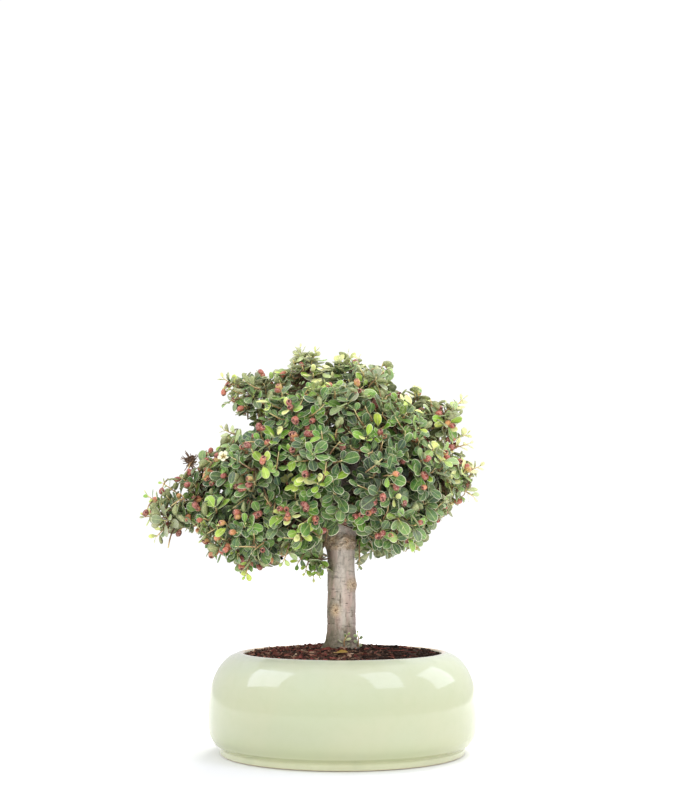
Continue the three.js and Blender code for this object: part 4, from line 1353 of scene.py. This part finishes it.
def add_lone_tips(loose, shoots, berries, rng):
    """Rosettes where no spray reaches, each on a shoot from the nearest spray."""
    for tip in LONE_TIPS:
        centre = CENTRES[np.argmin(np.linalg.norm(CENTRES - tip, axis=1))]
        axis = unit(unit(tip - centre) + 0.4 * UP + rng.normal(0, 0.3, 3))
        outward = unit(unit(tip - CROWN_MIDDLE) + [0, -0.5, 0])
        line = shoot_line(centre + 0.4 * (tip - centre), tip, axis, SHORT_SHOOT, rng)
        add_stem(shoots, line, 0.42)
        fruit = rng.uniform() < 0.3
        add_rosette(loose, tip, axis, outward, 0, 0.05, fruit, rng)
        if fruit:
            add_fruit(berries, shoots, tip, axis, outward, rng)


def add_hanging_fruit(berries, shoots, rng):
    for at in HANGING_FRUIT:
        lean = unit(rng.normal(0, 0.3, 3) + [0, -0.3, -0.8])
        add_berry(berries, at, lean, rng.uniform(0.82, 0.98), rng)
        add_stem(shoots, smooth_line([at + [4, 4, 7], at + [1.5, 1.5, 4], at], 5), 0.4)


def add_blossom(loose, shoots, rng):
    """One flower with five white petals and its stamens."""
    facing = unit([-0.15, -0.9, 0.4])
    first = unit(np.cross(facing, UP))
    radial = spokes(first, np.cross(facing, first), round_turns(5) + 0.4)
    five = np.ones(5)
    rows = (
        BLOSSOM + radial * 0.5, radial + 0.25 * facing, five[:, None] * facing, five * 3.7,
        five * 3.8, five * 0.5, five * -0.1, five, five * 0.2,
    )
    add_leaves(loose, rows, pale=1.0, free=True)
    stalk = smooth_line([BLOSSOM + [2, 9, -4], BLOSSOM - facing * 3, BLOSSOM], 5)
    add_stem(shoots, stalk, 0.5)
    for _ in range(9):
        way = unit(facing + rng.normal(0, 0.45, 3))
        stamen = [BLOSSOM, BLOSSOM + way * 1.2, BLOSSOM + way * 2.4]
        shoots.add(*tube(stamen, 0.16, 4), {"age": 0.85})


def add_dry_tuft(shoots, rng):
    """A tuft of dried flower stalks: a dense middle and thinner, longer ends."""
    dense, thin = (62, 2.5, 6, 0.6), (28, 6, 9.5, 0.32)
    for count, shortest, longest, radius in (dense, thin):
        for _ in range(count):
            way = unit(rng.normal(0, 1, 3) + [0, -0.3, 0.2])
            long = rng.uniform(shortest, longest)
            bend = DRY_TUFT + way * long * 0.5 + rng.normal(0, 0.8, 3)
            line = smooth_line([DRY_TUFT, bend, DRY_TUFT + way * long], 4)
            shoots.add(*tube(line, radius, 4), {"age": rng.uniform(0.1, 0.5)})
    add_stem(shoots, smooth_line([DRY_TUFT + [4, 2, -9], DRY_TUFT + [1, 1, -4], DRY_TUFT], 4), 0.6)


def build_fallen_leaf():
    """The yellow leaf on the soil; it lies on the highest crumbs under it."""
    x, y, length, bearing = FALLEN_LEAF
    turn = math.radians(bearing)
    along = np.array([math.cos(turn), math.sin(turn), 0])
    middle = np.array([x, y, 0]) + along * length / 2
    around = np.linspace(0, TURN, 12)
    edge = middle[:2] + 0.45 * length * np.stack([np.cos(around), np.sin(around)], 1)
    z = crumbly_height(np.hypot(*edge.T), np.arctan2(edge[:, 1], edge[:, 0])).max()
    one = np.ones(1)
    rows = (
        np.array([[x, y, z + 0.6]]), along[None] + [[0, 0, 0.05]], np.array([[0.1, -0.25, 1.0]]),
        one * length, one * 6.6, one * 0.25, one * 0.02, one, one,
    )
    body = Body()
    add_leaves(body, rows, free=True)
    made = body.build("fallen_leaf_blade", dead_leaf_material(), "dead_leaf")
    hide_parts("fallen_leaf")


# Studio


def build_camera():
    camera = add_object("camera", bpy.data.cameras.new("camera"))
    camera.data.lens = CAMERA_LENS
    camera.data.clip_start, camera.data.clip_end = 0.01, 100
    camera.location = CAMERA_AT
    camera.rotation_euler = (math.radians(90 + CAMERA_PITCH), 0, 0)
    bpy.context.scene.camera = camera


def build_floor():
    """A wide floor just under the foot, so that the two don't share a plane."""
    floor = bpy.data.meshes.new("floor")
    side, low = 8.0, -0.0004
    corners = [(-side, -side, low), (side, -side, low), (side, side, low), (-side, side, low)]
    floor.from_pydata(corners, [], [(0, 1, 2, 3)])
    floor.materials.append(floor_material())
    made = add_object("floor", floor)


def build_lamps():
    for number, (at, first, wide, high, radiance, shows) in enumerate(LAMPS):
        data = bpy.data.lights.new(f"softbox_{number}", "AREA")
        data.shape = "RECTANGLE"
        data.size, data.size_y = wide, high
        data.energy = math.pi * wide * high * radiance
        data.color = COOL_LIGHT if shows else WARM_LIGHT
        lamp = add_object(data.name, data)
        lamp.visible_glossy = shows
        z = (Vector(at) - Vector(LAMPS_FACE)).normalized()
        x = Vector(first)
        x = (x - z * x.dot(z)).normalized()
        y = z.cross(x)
        lamp.matrix_world = Matrix.Translation(at) @ Matrix((x, y, z)).transposed().to_4x4()


def build_backdrop():
    """A white world, brighter where the camera sees it than where it lights the tree."""
    world = bpy.data.worlds.new("studio")
    bpy.context.scene.world = world
    world.use_nodes = True
    tree = world.node_tree
    backdrop = tree.nodes["Background"]
    backdrop.inputs["Color"].default_value = (1, 1, 1, 1)
    seen = tree.nodes.new("ShaderNodeLightPath").outputs["Is Camera Ray"]
    strength = tree.nodes.new("ShaderNodeMapRange")
    tree.links.new(seen, strength.inputs["Value"])
    strength.inputs["To Min"].default_value = BACKDROP_LIGHT
    strength.inputs["To Max"].default_value = BACKDROP_SEEN
    tree.links.new(strength.outputs[0], backdrop.inputs["Strength"])
    bpy.context.scene.view_settings.view_transform = "Standard"


build_camera()
build_floor()
build_lamps()
build_backdrop()
build_bowl()
build_soil(np.random.default_rng(5))
build_wood()
build_sprays()
build_fallen_leaf()
